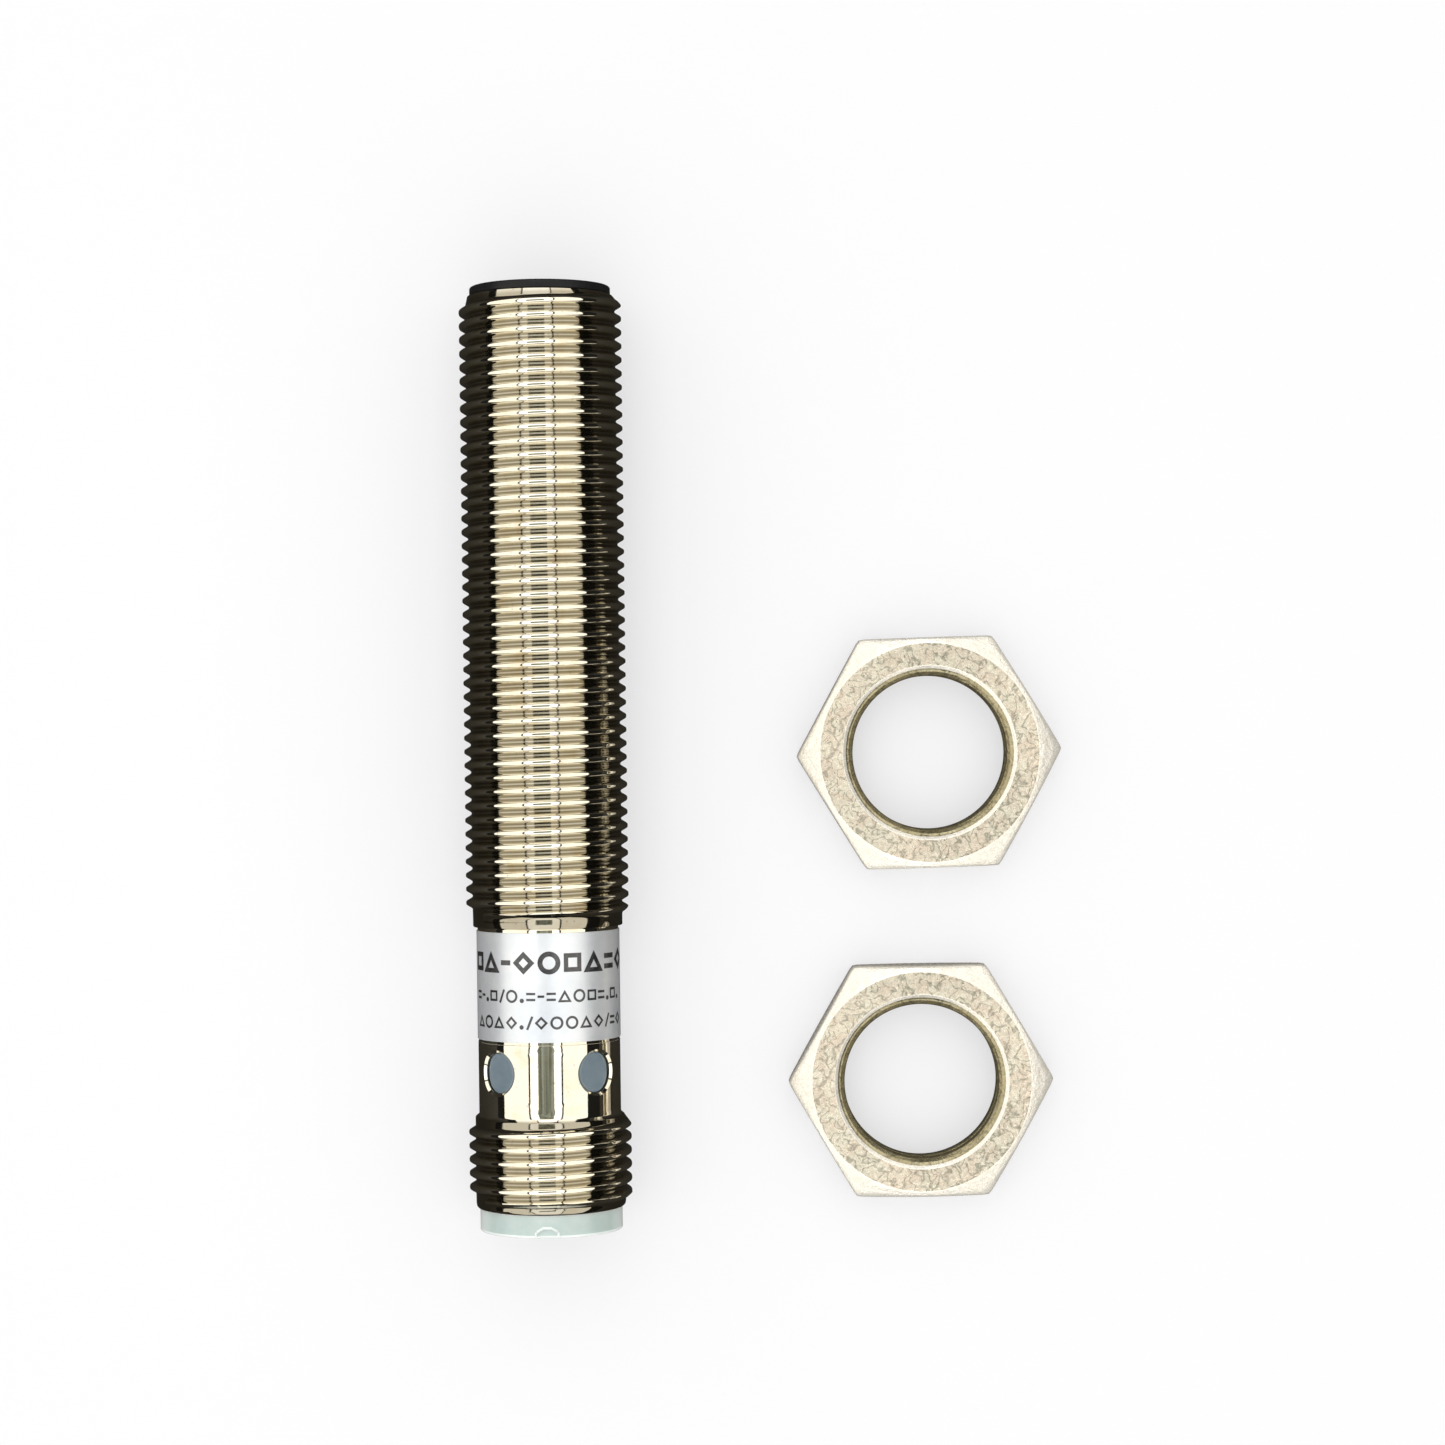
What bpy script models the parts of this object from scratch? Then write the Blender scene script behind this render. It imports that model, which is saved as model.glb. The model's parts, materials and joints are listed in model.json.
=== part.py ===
"""Inductive proximity sensor, M12 x 1, with a four-pin plug end and two loose mounting nuts.

Metres, +Z up. The origin is the middle of the sensing face and +Y points out of that face, so
the sensor lies along -Y. A "station" is a distance behind the face. The sensor and both nuts
rest on the plane z = FLOOR_Z. Round pieces have FACETS sides with a flat side turned down.
"""

import math

import bmesh
import bpy
from mathutils import Matrix, Vector

MM = 0.001

# Driving dimensions
FACETS = 20
GAP = 0.1 * MM
PITCH = 1.0 * MM
CREST_R = 6.0 * MM
ROOT_R = 5.39 * MM
LENGTH = 68.7 * MM
FRONT = 0.65 * MM
THREAD_START = 0.85 * MM
THREAD_TURNS = 44.4
SEAT_START = 46.6 * MM
SEAT_END = 54.85 * MM
SHOULDER = 60.15 * MM
PLUG_THREAD_START = 60.55 * MM
PLUG_THREAD_TURNS = 5.4
BARREL_END = 67.0 * MM
SEAT_R = 5.13 * MM
WINDOW_BAND_R = 5.2 * MM
BORE_R = 4.7 * MM
REAR_BORE_R = 4.8 * MM
REAR_BORE_START = 54.25 * MM
SPIGOT_R = 4.9 * MM
SPIGOT_START = 49.0 * MM
TUBE_JOINT = 50.6 * MM
JOINT_GAP = 0.05 * MM
WINDOW_STATION = 57.0 * MM
WINDOW_R = 1.6 * MM
WINDOW_COUNT = 4

CAP_R = 5.2 * MM
CAP_SKIRT_INNER_R = 4.25 * MM
CAP_SKIRT_END = 6.2 * MM
CAP_WALL = 0.8 * MM
SHIELD_R = 4.15 * MM
SHIELD_WALL = 0.2 * MM
CORE_R = 3.85 * MM
CORE_GROOVE_R = 3.2 * MM
CORE_POST_R = 1.55 * MM
CORE_HOLE_R = 0.5 * MM
CORE_START = 0.95 * MM
CORE_FLOOR = 4.4 * MM
CORE_END = 5.4 * MM
HOLDER_R = 4.55 * MM
HOLDER_START = 5.6 * MM
HOLDER_DISC_START = 6.4 * MM
HOLDER_DISC_END = 8.4 * MM
HOLDER_END = 11.0 * MM
COIL_LEAD_X = 2.2 * MM
COIL_LEAD_Z = 0.9 * MM
COIL_LEAD_R = 0.12 * MM

BOARD_THICKNESS = 0.8 * MM
BOARD_HALF_WIDTH = 4.2 * MM
BOARD_NECK_HALF_WIDTH = 3.3 * MM
BOARD_START = 8.8 * MM
BOARD_NECK_START = 40.0 * MM
BOARD_END = 57.8 * MM
PART_LIFT = 0.05 * MM
PLUG_START = 44.0 * MM
PLUG_END = 51.5 * MM

GUIDE_OUTER_R = 4.65 * MM
GUIDE_INNER_R = 3.9 * MM
GUIDE_START = 55.0 * MM
GUIDE_END = 58.75 * MM
GUIDE_BOSS_TOP = 5.12 * MM

INSERT_START = 59.0 * MM
INSERT_R = 4.65 * MM
COLLAR_R = 5.35 * MM
COLLAR_START = BARREL_END + 0.15 * MM
SOCKET_R = 4.25 * MM
SOCKET_FLOOR = 60.7 * MM
SEAL_GROOVE_R = 4.1 * MM
SEAL_GROOVE_START = 59.4 * MM
SEAL_GROOVE_END = 60.25 * MM
KEY_WIDTH = 0.9 * MM
KEY_MARK_R = 0.98 * MM
PIN_OFFSET = 1.77 * MM
PIN_R = 0.5 * MM
PIN_TAIL_R = 0.35 * MM
PIN_TIP = 67.5 * MM
PIN_TAIL_START = 58.0 * MM
PIN_SIDES = 10

LABEL_START = 46.85 * MM
LABEL_END = 54.7 * MM
LABEL_THICKNESS = 0.1 * MM
LABEL_LIFT = 0.05 * MM
LABEL_SEAM = 0.3 * MM

NUT_WIDTH = 17.0 * MM
NUT_HEIGHT = 4.0 * MM
NUT_FACE_R = 8.1 * MM
NUT_MINOR_R = 5.46 * MM
NUT_MAJOR_R = 6.06 * MM
NUT_MOUTH_R = 6.4 * MM
NUT_SIDES = 24
NUT_PLACES = ((28.2 * MM, -34.35 * MM, 1.2), (27.3 * MM, -58.6 * MM, 0.2))

FLAT_SHARE = math.cos(math.pi / FACETS)
FLOOR_Z = -CREST_R * FLAT_SHARE

# Finishes: base colour, roughness, metallic
NICKEL = ("nickel_plate", (0.80, 0.76, 0.66), 0.22, 1.0)
BLACK_PLASTIC = ("black_plastic", (0.012, 0.012, 0.013), 0.42, 0.0)
FERRITE = ("ferrite", (0.045, 0.043, 0.045), 0.6, 0.0)
COPPER = ("copper", (0.78, 0.36, 0.20), 0.3, 1.0)
AMBER_PLASTIC = ("amber_plastic", (0.62, 0.52, 0.36), 0.5, 0.0)
BOARD_GREEN = ("board_green", (0.02, 0.16, 0.07), 0.4, 0.0)
CHIP_BLACK = ("chip_black", (0.02, 0.02, 0.022), 0.55, 0.0)
CERAMIC = ("ceramic", (0.45, 0.33, 0.20), 0.5, 0.0)
TANTALUM = ("tantalum_yellow", (0.75, 0.52, 0.10), 0.45, 0.0)
LED_YELLOW = ("led_body", (0.85, 0.70, 0.25), 0.3, 0.0)
CLEAR_PLASTIC = ("frosted_plastic", (0.50, 0.58, 0.58), 0.3, 0.0)
GOLD = ("gold_plate", (0.95, 0.70, 0.28), 0.2, 1.0)
SEAL_RUBBER = ("seal_rubber", (0.03, 0.03, 0.03), 0.7, 0.0)
RESIN = ("potting_resin", (0.10, 0.11, 0.13), 0.5, 0.0)
LABEL_FOIL = ("label_foil", (0.78, 0.79, 0.80), 0.35, 0.0)
WIRE_FINISHES = (
    ("wire_brown", (0.20, 0.07, 0.03), 0.5, 0.0),
    ("wire_white", (0.80, 0.80, 0.78), 0.5, 0.0),
    ("wire_blue", (0.03, 0.10, 0.45), 0.5, 0.0),
    ("wire_black", (0.02, 0.02, 0.02), 0.5, 0.0),
)


def clear_scene():
    for thing in list(bpy.data.objects):
        bpy.data.objects.remove(thing, do_unlink=True)


def material(finish):
    """The Principled material of a finish, made once."""
    name, colour, roughness, metallic = finish
    made = bpy.data.materials.get(name)
    if made is None:
        made = bpy.data.materials.new(name)
        made.use_nodes = True
        shader = made.node_tree.nodes["Principled BSDF"]
        shader.inputs["Base Color"].default_value = (*colour, 1.0)
        shader.inputs["Roughness"].default_value = roughness
        shader.inputs["Metallic"].default_value = metallic
        made.diffuse_color = (*colour, 1.0)
    return made


def add_object(name, bm, finish=None, sharp_deg=35):
    """Turns a bmesh into an object of the scene, outward facing and shaded by its edges."""
    bmesh.ops.recalc_face_normals(bm, faces=bm.faces)
    mesh = bpy.data.meshes.new(name)
    bm.to_mesh(mesh)
    bm.free()
    mesh.shade_smooth()
    mesh.set_sharp_from_angle(angle=math.radians(sharp_deg))
    thing = bpy.data.objects.new(name, mesh)
    bpy.context.scene.collection.objects.link(thing)
    if finish:
        mesh.materials.append(material(finish))
    return thing


def helper(thing):
    """Hides a cutter or a piece that is joined to another."""
    thing.hide_render = True
    thing.display_type = "WIRE"
    return thing


def combine(thing, other, operation):
    """Cuts, joins or intersects an object with a helper."""
    boolean = thing.modifiers.new(f"{operation.lower()} {other.name}", "BOOLEAN")
    boolean.operation = operation
    boolean.solver = "EXACT"
    boolean.object = helper(other)
    return thing


def facet_angle(index, sides=FACETS):
    """The angle of a corner, from +X towards +Z, with a flat side turned down."""
    return 2 * math.pi * (index + 0.5) / sides


def ring(bm, radius, station, sides=FACETS):
    """One ring of corners around the sensor's axis."""
    corners = []
    for index in range(sides):
        angle = facet_angle(index, sides)
        place = (radius * math.cos(angle), -station, radius * math.sin(angle))
        corners.append(bm.verts.new(place))
    return corners


def bridge(bm, first, second):
    """A band of four-sided faces between two rings."""
    sides = len(first)
    for index in range(sides):
        after = (index + 1) % sides
        bm.faces.new((first[index], first[after], second[after], second[index]))


def turned(name, profile, finish=None, sides=FACETS):
    """A turned piece from (radius, station) points. A closed profile gives a ring. A profile
    that starts and ends on the axis gives a solid."""
    bm = bmesh.new()
    solid = profile[0][0] == 0
    rings = [ring(bm, radius, station, sides) for radius, station in profile if radius > 0]
    for first, second in zip(rings, rings[1:]):
        bridge(bm, first, second)
    if solid:
        bm.faces.new(rings[0])
        bm.faces.new(rings[-1])
    else:
        bridge(bm, rings[-1], rings[0])
    return add_object(name, bm, finish)


def extruded(name, outline, station_low, station_high, finish=None):
    """A prism along the axis from an (x, z) outline."""
    bm = bmesh.new()
    corners = [bm.verts.new((x, -station_low, z)) for x, z in outline]
    face = bm.faces.new(corners)
    moved = bmesh.ops.extrude_face_region(bm, geom=[face])["geom"]
    verts = [item for item in moved if isinstance(item, bmesh.types.BMVert)]
    bmesh.ops.translate(bm, verts=verts, vec=(0, station_low - station_high, 0))
    return add_object(name, bm, finish)


def add_box(bm, low, high):
    """A closed box between two corners."""
    size = Vector(high) - Vector(low)
    middle = (Vector(high) + Vector(low)) / 2
    placed = Matrix.Translation(middle) @ Matrix.Diagonal((*size, 1))
    bmesh.ops.create_cube(bm, size=1, matrix=placed)


def boxes(name, corners, finish=None):
    """One mesh of separate boxes, each given as its low and high corner."""
    bm = bmesh.new()
    for low, high in corners:
        add_box(bm, low, high)
    return add_object(name, bm, finish)


def rods(name, places, radius, station_low, station_high, sides=12):
    """One mesh of separate rods along the axis, at (x, z) places."""
    bm = bmesh.new()
    length = station_high - station_low
    for x, z in places:
        middle = Matrix.Translation((x, -(station_low + station_high) / 2, z))
        placed = middle @ Matrix.Rotation(math.pi / 2, 4, "X")
        bmesh.ops.create_cone(
            bm, cap_ends=True, segments=sides, radius1=radius, radius2=radius, depth=length,
            matrix=placed,
        )
    return add_object(name, bm)


def window_rods(name, radius, inner_r, outer_r):
    """The round windows' rods, which point away from the axis at equal angles."""
    bm = bmesh.new()
    for index in range(WINDOW_COUNT):
        angle = 2 * math.pi * (index + 0.5) / WINDOW_COUNT
        turn = Matrix.Translation((0, -WINDOW_STATION, 0)) @ Matrix.Rotation(angle, 4, "Y")
        placed = turn @ Matrix.Translation((0, 0, (inner_r + outer_r) / 2))
        bmesh.ops.create_cone(
            bm, cap_ends=True, segments=20, radius1=radius, radius2=radius,
            depth=outer_r - inner_r, matrix=placed,
        )
    return add_object(name, bm)


def thread(bm, front, back, start, turns, root_r, crest_at):
    """A right-hand V thread between a front ring and a back ring. crest_at gives the crest's
    radius at a station. Each row holds a root point and, half a pitch on, a crest point."""
    sides = len(front)
    count = round(turns * sides)
    rows = []
    for index in range(count + 1):
        angle = facet_angle(index, sides)
        root_station = start + PITCH * index / sides
        crest_station = root_station + PITCH / 2
        row = []
        for radius, station in ((root_r, root_station), (crest_at(crest_station), crest_station)):
            place = (radius * math.cos(angle), -station, radius * math.sin(angle))
            row.append(bm.verts.new(place))
        rows.append(row)
    for index in range(count):
        here, after = rows[index], rows[index + 1]
        bm.faces.new((here[0], after[0], after[1], here[1]))
        if index + 1 + sides <= count:
            bm.faces.new((here[1], after[1], rows[index + 1 + sides][0], rows[index + sides][0]))
    close_start(bm, front, rows, sides)
    close_end(bm, back, rows, sides)


def close_start(bm, front, rows, sides):
    """Joins the front ring to the thread's first turn, whose end steps on by one pitch."""
    for index in range(sides - 1):
        bm.faces.new((front[index], front[index + 1], rows[index + 1][0], rows[index][0]))
    last = front[sides - 1]
    step = (front[0], rows[0][0], rows[0][1], rows[sides][0], rows[sides - 1][0])
    for first, second in zip(step, step[1:]):
        bm.faces.new((last, first, second))


def close_end(bm, back, rows, sides):
    """Joins the thread's last turn, whose start is one pitch short, to the back ring."""
    count = len(rows) - 1
    begin = count - sides
    for index in range(begin + 1, count):
        here, after = back[index % sides], back[(index + 1) % sides]
        bm.faces.new((rows[index][1], rows[index + 1][1], after, here))
    apex = back[(begin + 1) % sides]
    step = (
        back[begin % sides], rows[count][1], rows[count][0], rows[begin][1], rows[begin + 1][1],
    )
    for first, second in zip(step, step[1:]):
        bm.faces.new((apex, first, second))


def ramp(station, low, high, low_r, high_r):
    """A radius that runs straight from low_r at one station to high_r at another."""
    share = min(max((station - low) / (high - low), 0), 1)
    return low_r + (high_r - low_r) * share


def main_crest(station):
    """The long thread's crest, with a front chamfer and a run-out in front of the label."""
    chamfer = ramp(station, FRONT, FRONT + 0.7 * MM, ROOT_R, CREST_R)
    run_out = ramp(station, 45.0 * MM, 45.9 * MM, CREST_R, ROOT_R + 0.05 * MM)
    return min(chamfer, run_out)


def plug_crest(station):
    """The plug thread's crest, which fades in at the shoulder and has a chamfer at its end."""
    fade = ramp(station, SHOULDER + 0.3 * MM, SHOULDER + 1.1 * MM, ROOT_R + 0.1 * MM, CREST_R)
    chamfer = ramp(station, 66.0 * MM, 66.8 * MM, CREST_R, ROOT_R + 0.05 * MM)
    return min(fade, chamfer)


def join_rings(bm, rings):
    """Bands of faces between each ring and the next."""
    for first, second in zip(rings, rings[1:]):
        bridge(bm, first, second)


def make_barrel():
    """The long turned tube: front thread, front half of the label seat, and bore. Its end is
    bored out for the connector sleeve's spigot."""
    bm = bmesh.new()
    nose = ring(bm, 5.25 * MM, FRONT)
    thread_front = ring(bm, 5.33 * MM, FRONT + 0.1 * MM)
    thread_back = ring(bm, ROOT_R, 45.95 * MM)
    bridge(bm, nose, thread_front)
    thread(bm, thread_front, thread_back, THREAD_START, THREAD_TURNS, ROOT_R, main_crest)
    join_rings(bm, [
        thread_back,
        ring(bm, ROOT_R, SEAT_START - 0.25 * MM),
        ring(bm, SEAT_R, SEAT_START),
        ring(bm, SEAT_R, TUBE_JOINT),
        ring(bm, SPIGOT_R + JOINT_GAP, TUBE_JOINT),
        ring(bm, SPIGOT_R + JOINT_GAP, SPIGOT_START - JOINT_GAP),
        ring(bm, BORE_R, SPIGOT_START - JOINT_GAP),
        ring(bm, BORE_R, FRONT),
        nose,
    ])
    return add_object("barrel", bm, NICKEL)


def make_connector_sleeve():
    """The short turned tube behind it: spigot, rear half of the label seat, window band, plug
    thread and bore. The joint between the tubes lies under the label."""
    bm = bmesh.new()
    spigot = ring(bm, SPIGOT_R, SPIGOT_START)
    shoulder = ring(bm, ROOT_R, SHOULDER + 0.25 * MM)
    join_rings(bm, [
        spigot,
        ring(bm, SPIGOT_R, TUBE_JOINT + JOINT_GAP),
        ring(bm, SEAT_R, TUBE_JOINT + JOINT_GAP),
        ring(bm, SEAT_R, SEAT_END),
        ring(bm, WINDOW_BAND_R, SEAT_END + 0.05 * MM),
        ring(bm, WINDOW_BAND_R, SHOULDER),
        shoulder,
    ])
    plug_back = ring(bm, ROOT_R, 66.75 * MM)
    thread(bm, shoulder, plug_back, PLUG_THREAD_START, PLUG_THREAD_TURNS, ROOT_R, plug_crest)
    join_rings(bm, [
        plug_back,
        ring(bm, 5.3 * MM, BARREL_END),
        ring(bm, REAR_BORE_R, BARREL_END),
        ring(bm, REAR_BORE_R, REAR_BORE_START),
        ring(bm, BORE_R, REAR_BORE_START - GAP),
        ring(bm, BORE_R, SPIGOT_START),
        spigot,
    ])
    sleeve = add_object("connector_sleeve", bm, NICKEL)
    holes = window_rods("window_holes", WINDOW_R, 3.5 * MM, 7.0 * MM)
    return combine(sleeve, holes, "DIFFERENCE")


def make_sensing_cap():
    """The plastic face with its skirt inside the barrel."""
    skirt_r = BORE_R - GAP
    flange_end = FRONT - GAP
    profile = (
        (0, 0), (CAP_R - 0.15 * MM, 0), (CAP_R, 0.15 * MM), (CAP_R, flange_end),
        (skirt_r, flange_end), (skirt_r, CAP_SKIRT_END), (CAP_SKIRT_INNER_R, CAP_SKIRT_END),
        (CAP_SKIRT_INNER_R, CAP_WALL), (0, CAP_WALL),
    )
    return turned("sensing_cap", profile, BLACK_PLASTIC)


def make_shield_ring():
    """The thin metal ring that keeps the field in front of the face."""
    inner = SHIELD_R - SHIELD_WALL
    profile = (
        (inner, CORE_START + 0.35 * MM), (SHIELD_R, CORE_START + 0.35 * MM),
        (SHIELD_R, 6.0 * MM), (inner, 6.0 * MM),
    )
    return turned("shield_ring", profile, COPPER)


def make_ferrite_core():
    """The pot core: outer wall, centre post, floor, and two holes for the coil's leads."""
    profile = (
        (CORE_HOLE_R, CORE_START), (CORE_POST_R, CORE_START), (CORE_POST_R, CORE_FLOOR),
        (CORE_GROOVE_R, CORE_FLOOR), (CORE_GROOVE_R, CORE_START), (CORE_R, CORE_START),
        (CORE_R, CORE_END), (CORE_HOLE_R, CORE_END),
    )
    core = turned("ferrite_core", profile, FERRITE)
    places = [(side * COIL_LEAD_X, COIL_LEAD_Z) for side in (-1, 1)]
    holes = rods("core_lead_holes", places, 0.35 * MM, CORE_FLOOR - MM, CORE_END + MM)
    return combine(core, holes, "DIFFERENCE")


def make_coil_bobbin():
    """The bobbin around the core's post."""
    inner, tube, flange = 1.65 * MM, 1.9 * MM, 3.1 * MM
    front, back, wall = 1.15 * MM, 4.25 * MM, 0.25 * MM
    profile = (
        (inner, front), (flange, front), (flange, front + wall), (tube, front + wall),
        (tube, back - wall), (flange, back - wall), (flange, back), (inner, back),
    )
    return turned("coil_bobbin", profile, AMBER_PLASTIC)


def make_coil_winding():
    """The winding between the bobbin's flanges."""
    inner, outer, front, back = 2.0 * MM, 3.0 * MM, 1.5 * MM, 3.9 * MM
    profile = ((inner, front), (outer, front), (outer, back), (inner, back))
    return turned("coil_winding", profile, COPPER)


def wire(name, points, radius, finish):
    """A wire along a smooth curve through (x, station, z) points."""
    curve = bpy.data.curves.new(name, "CURVE")
    curve.dimensions = "3D"
    curve.bevel_depth = radius
    curve.bevel_resolution = 1
    curve.use_fill_caps = True
    spots = [Vector((x, -station, z)) for x, station, z in points]
    smooth = smooth_path(spots, 4)
    spline = curve.splines.new("POLY")
    spline.points.add(len(smooth) - 1)
    for point, spot in zip(spline.points, smooth):
        point.co = (*spot, 1)
    thing = bpy.data.objects.new(name, curve)
    bpy.context.scene.collection.objects.link(thing)
    curve.materials.append(material(finish))
    return thing


def smooth_path(spots, steps):
    """Points of a Catmull-Rom curve through the given points."""
    ends = [2 * spots[0] - spots[1], *spots, 2 * spots[-1] - spots[-2]]
    path = []
    for index in range(len(spots) - 1):
        before, first, second, after = ends[index:index + 4]
        for step in range(steps):
            t = step / steps
            path.append(0.5 * (
                2 * first
                + (second - before) * t
                + (2 * before - 5 * first + 4 * second - after) * t ** 2
                + (3 * first - 3 * second + after - before) * t ** 3
            ))
    path.append(spots[-1])
    return path


def make_coil_leads():
    """Two thin wires from the winding, through core and holder, down onto the board."""
    board_top = BOARD_THICKNESS / 2 + COIL_LEAD_R + PART_LIFT
    for number, side in enumerate((-1, 1), 1):
        x = side * COIL_LEAD_X
        points = (
            (x, 4.35 * MM, COIL_LEAD_Z), (x, 6.5 * MM, COIL_LEAD_Z), (x, 9.2 * MM, COIL_LEAD_Z),
            (x, 10.6 * MM, board_top), (x, 12.0 * MM, board_top),
        )
        wire(f"coil_lead_{number}", points, COIL_LEAD_R, COPPER)


def make_core_holder():
    """The plastic plug behind the core, with two prongs that grip the board."""
    boss_r = CORE_R - 0.05 * MM
    profile = (
        (0, HOLDER_START), (boss_r, HOLDER_START), (boss_r, HOLDER_DISC_START),
        (HOLDER_R, HOLDER_DISC_START), (HOLDER_R, HOLDER_DISC_END), (0, HOLDER_DISC_END),
    )
    holder = turned("core_holder", profile, AMBER_PLASTIC)
    half, near, far = 1.6 * MM, BOARD_THICKNESS / 2 + GAP, 1.3 * MM
    front, back = -(HOLDER_DISC_END - 0.4 * MM), -HOLDER_END
    prongs = boxes("holder_prongs", (
        ((-half, back, near), (half, front, far)),
        ((-half, back, -far), (half, front, -near)),
    ))
    combine(holder, prongs, "UNION")
    places = [(side * COIL_LEAD_X, COIL_LEAD_Z) for side in (-1, 1)]
    holes = rods("holder_lead_holes", places, 0.3 * MM, HOLDER_START - MM, HOLDER_DISC_END + MM)
    return combine(holder, holes, "DIFFERENCE")


def make_circuit_board():
    """The long board, with a narrow neck through the potting and the light guide."""
    wide, neck = BOARD_HALF_WIDTH, BOARD_NECK_HALF_WIDTH
    shoulder = BOARD_NECK_START + (wide - neck)
    right = (
        (wide, BOARD_START), (wide, BOARD_NECK_START), (neck, shoulder), (neck, BOARD_END),
    )
    outline = [*right, *[(-x, station) for x, station in reversed(right)]]
    bm = bmesh.new()
    half = BOARD_THICKNESS / 2
    face = bm.faces.new([bm.verts.new((x, -station, -half)) for x, station in outline])
    moved = bmesh.ops.extrude_face_region(bm, geom=[face])["geom"]
    verts = [item for item in moved if isinstance(item, bmesh.types.BMVert)]
    bmesh.ops.translate(bm, verts=verts, vec=(0, 0, BOARD_THICKNESS))
    return add_object("circuit_board", bm, BOARD_GREEN)


def board_box(x, station, side, width, length, low, high):
    """The corners of a box on one side of the board: side is 1 on top and -1 below."""
    surface = BOARD_THICKNESS / 2 + PART_LIFT
    heights = sorted((side * (surface + low), side * (surface + high)))
    return (
        (x - width / 2, -station - length / 2, heights[0]),
        (x + width / 2, -station + length / 2, heights[1]),
    )


def make_chip(name, x, station, side, width, length, height, finish):
    """A chip resistor or capacitor, with a slightly thicker terminal at each end."""
    cap = 0.35 * MM
    lip = 0.04 * MM
    body = boxes(name, [board_box(x, station, side, width - 2 * lip, length, lip, height)], finish)
    ends = [
        board_box(x, station + way * (length - cap) / 2, side, width, cap + 2 * lip, 0,
                  height + lip)
        for way in (-1, 1)
    ]
    return combine(body, boxes(f"{name}_ends", ends), "UNION")


def make_package(name, x, station, side, width, length, height, legs, finish):
    """A moulded package across the board. legs lists each leg's (x side, station offset)."""
    stand, leg_width, leg_reach = 0.15 * MM, 0.4 * MM, 0.6 * MM
    body = boxes(name, [board_box(x, station, side, width, length, stand, height)], finish)
    feet = [
        board_box(x + way * (width + leg_reach) / 2, station + offset, side,
                  leg_reach + 0.3 * MM, leg_width, 0, stand + 0.2 * MM)
        for way, offset in legs
    ]
    return combine(body, boxes(f"{name}_legs", feet), "UNION")


def make_board_parts():
    """The oscillator, the output stage, its protection and the passive chips."""
    quad = [(way, (row - 1.5) * 1.27 * MM) for way in (-1, 1) for row in range(4)]
    trio = [(-1, 0.95 * MM), (-1, -0.95 * MM), (1, 0)]
    pair = [(-1, 0), (1, 0)]
    packages = (
        ("oscillator_ic", 17.5, 1, 3.9, 4.9, 1.35, quad, CHIP_BLACK),
        ("output_transistor", 31.5, 1, 2.5, 4.2, 1.5, trio, CHIP_BLACK),
        ("surge_diode", 37.0, 1, 4.2, 2.6, 2.1, pair, CHIP_BLACK),
        ("voltage_regulator", 26.5, -1, 1.6, 2.9, 1.1, trio, CHIP_BLACK),
        ("polarity_diode", 32.5, -1, 2.7, 1.6, 1.1, pair, CHIP_BLACK),
    )
    for name, station, side, width, length, height, legs, finish in packages:
        make_package(name, 0, station * MM, side, width * MM, length * MM, height * MM, legs,
                     finish)
    chips = (
        ("resonance_capacitor", 0, 13.0, 1, 1.25, 2.0, 0.9, CERAMIC),
        ("trim_resistor", 0, 23.0, 1, 1.6, 3.2, 0.55, CHIP_BLACK),
        ("bias_resistor_1", -1.8, 27.0, 1, 1.25, 2.0, 0.5, CHIP_BLACK),
        ("bias_resistor_2", 1.8, 27.0, 1, 1.25, 2.0, 0.5, CHIP_BLACK),
        ("smoothing_capacitor", 0, 20.0, -1, 2.8, 3.5, 1.9, TANTALUM),
    )
    for name, x, station, side, width, length, height, finish in chips:
        make_chip(name, x * MM, station * MM, side, width * MM, length * MM, height * MM, finish)


def make_leds():
    """One LED under each window, with a sloped lens."""
    number = 0
    for side in (1, -1):
        for x in (-2.3 * MM, 2.3 * MM):
            number += 1
            base = BOARD_THICKNESS / 2 + PART_LIFT
            outline = [
                (x - 0.8 * MM, side * base), (x + 0.8 * MM, side * base),
                (x + 0.8 * MM, side * (base + 0.35 * MM)),
                (x + 0.45 * MM, side * (base + 0.65 * MM)),
                (x - 0.45 * MM, side * (base + 0.65 * MM)),
                (x - 0.8 * MM, side * (base + 0.35 * MM)),
            ]
            half = 0.4 * MM
            extruded(f"led_{number}", outline, WINDOW_STATION - half, WINDOW_STATION + half,
                     LED_YELLOW)


def make_potting_plug():
    """The resin plug that seals the electronics and joins both tubes, with a slot for the
    board's neck."""
    radius = BORE_R - GAP
    profile = ((0, PLUG_START), (radius, PLUG_START), (radius, PLUG_END), (0, PLUG_END))
    plug = turned("potting_plug", profile, RESIN)
    half_x = BOARD_NECK_HALF_WIDTH + 0.2 * MM
    half_z = BOARD_THICKNESS / 2 + 0.15 * MM
    slot = boxes("board_slot", [(
        (-half_x, -PLUG_END - MM, -half_z), (half_x, -PLUG_START + MM, half_z),
    )])
    return combine(plug, slot, "DIFFERENCE")


def make_light_guide():
    """The clear ring whose four bosses fill the sleeve's windows."""
    profile = (
        (GUIDE_INNER_R, GUIDE_START), (GUIDE_OUTER_R, GUIDE_START),
        (GUIDE_OUTER_R, GUIDE_END), (GUIDE_INNER_R, GUIDE_END),
    )
    guide = turned("light_guide", profile, CLEAR_PLASTIC)
    bosses = window_rods("guide_bosses", WINDOW_R - GAP, 4.2 * MM, GUIDE_BOSS_TOP)
    return combine(guide, bosses, "UNION")


def pin_places():
    """The four pins' (x, z) places."""
    return [(x * PIN_OFFSET, z * PIN_OFFSET) for z in (1, -1) for x in (-1, 1)]


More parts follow.
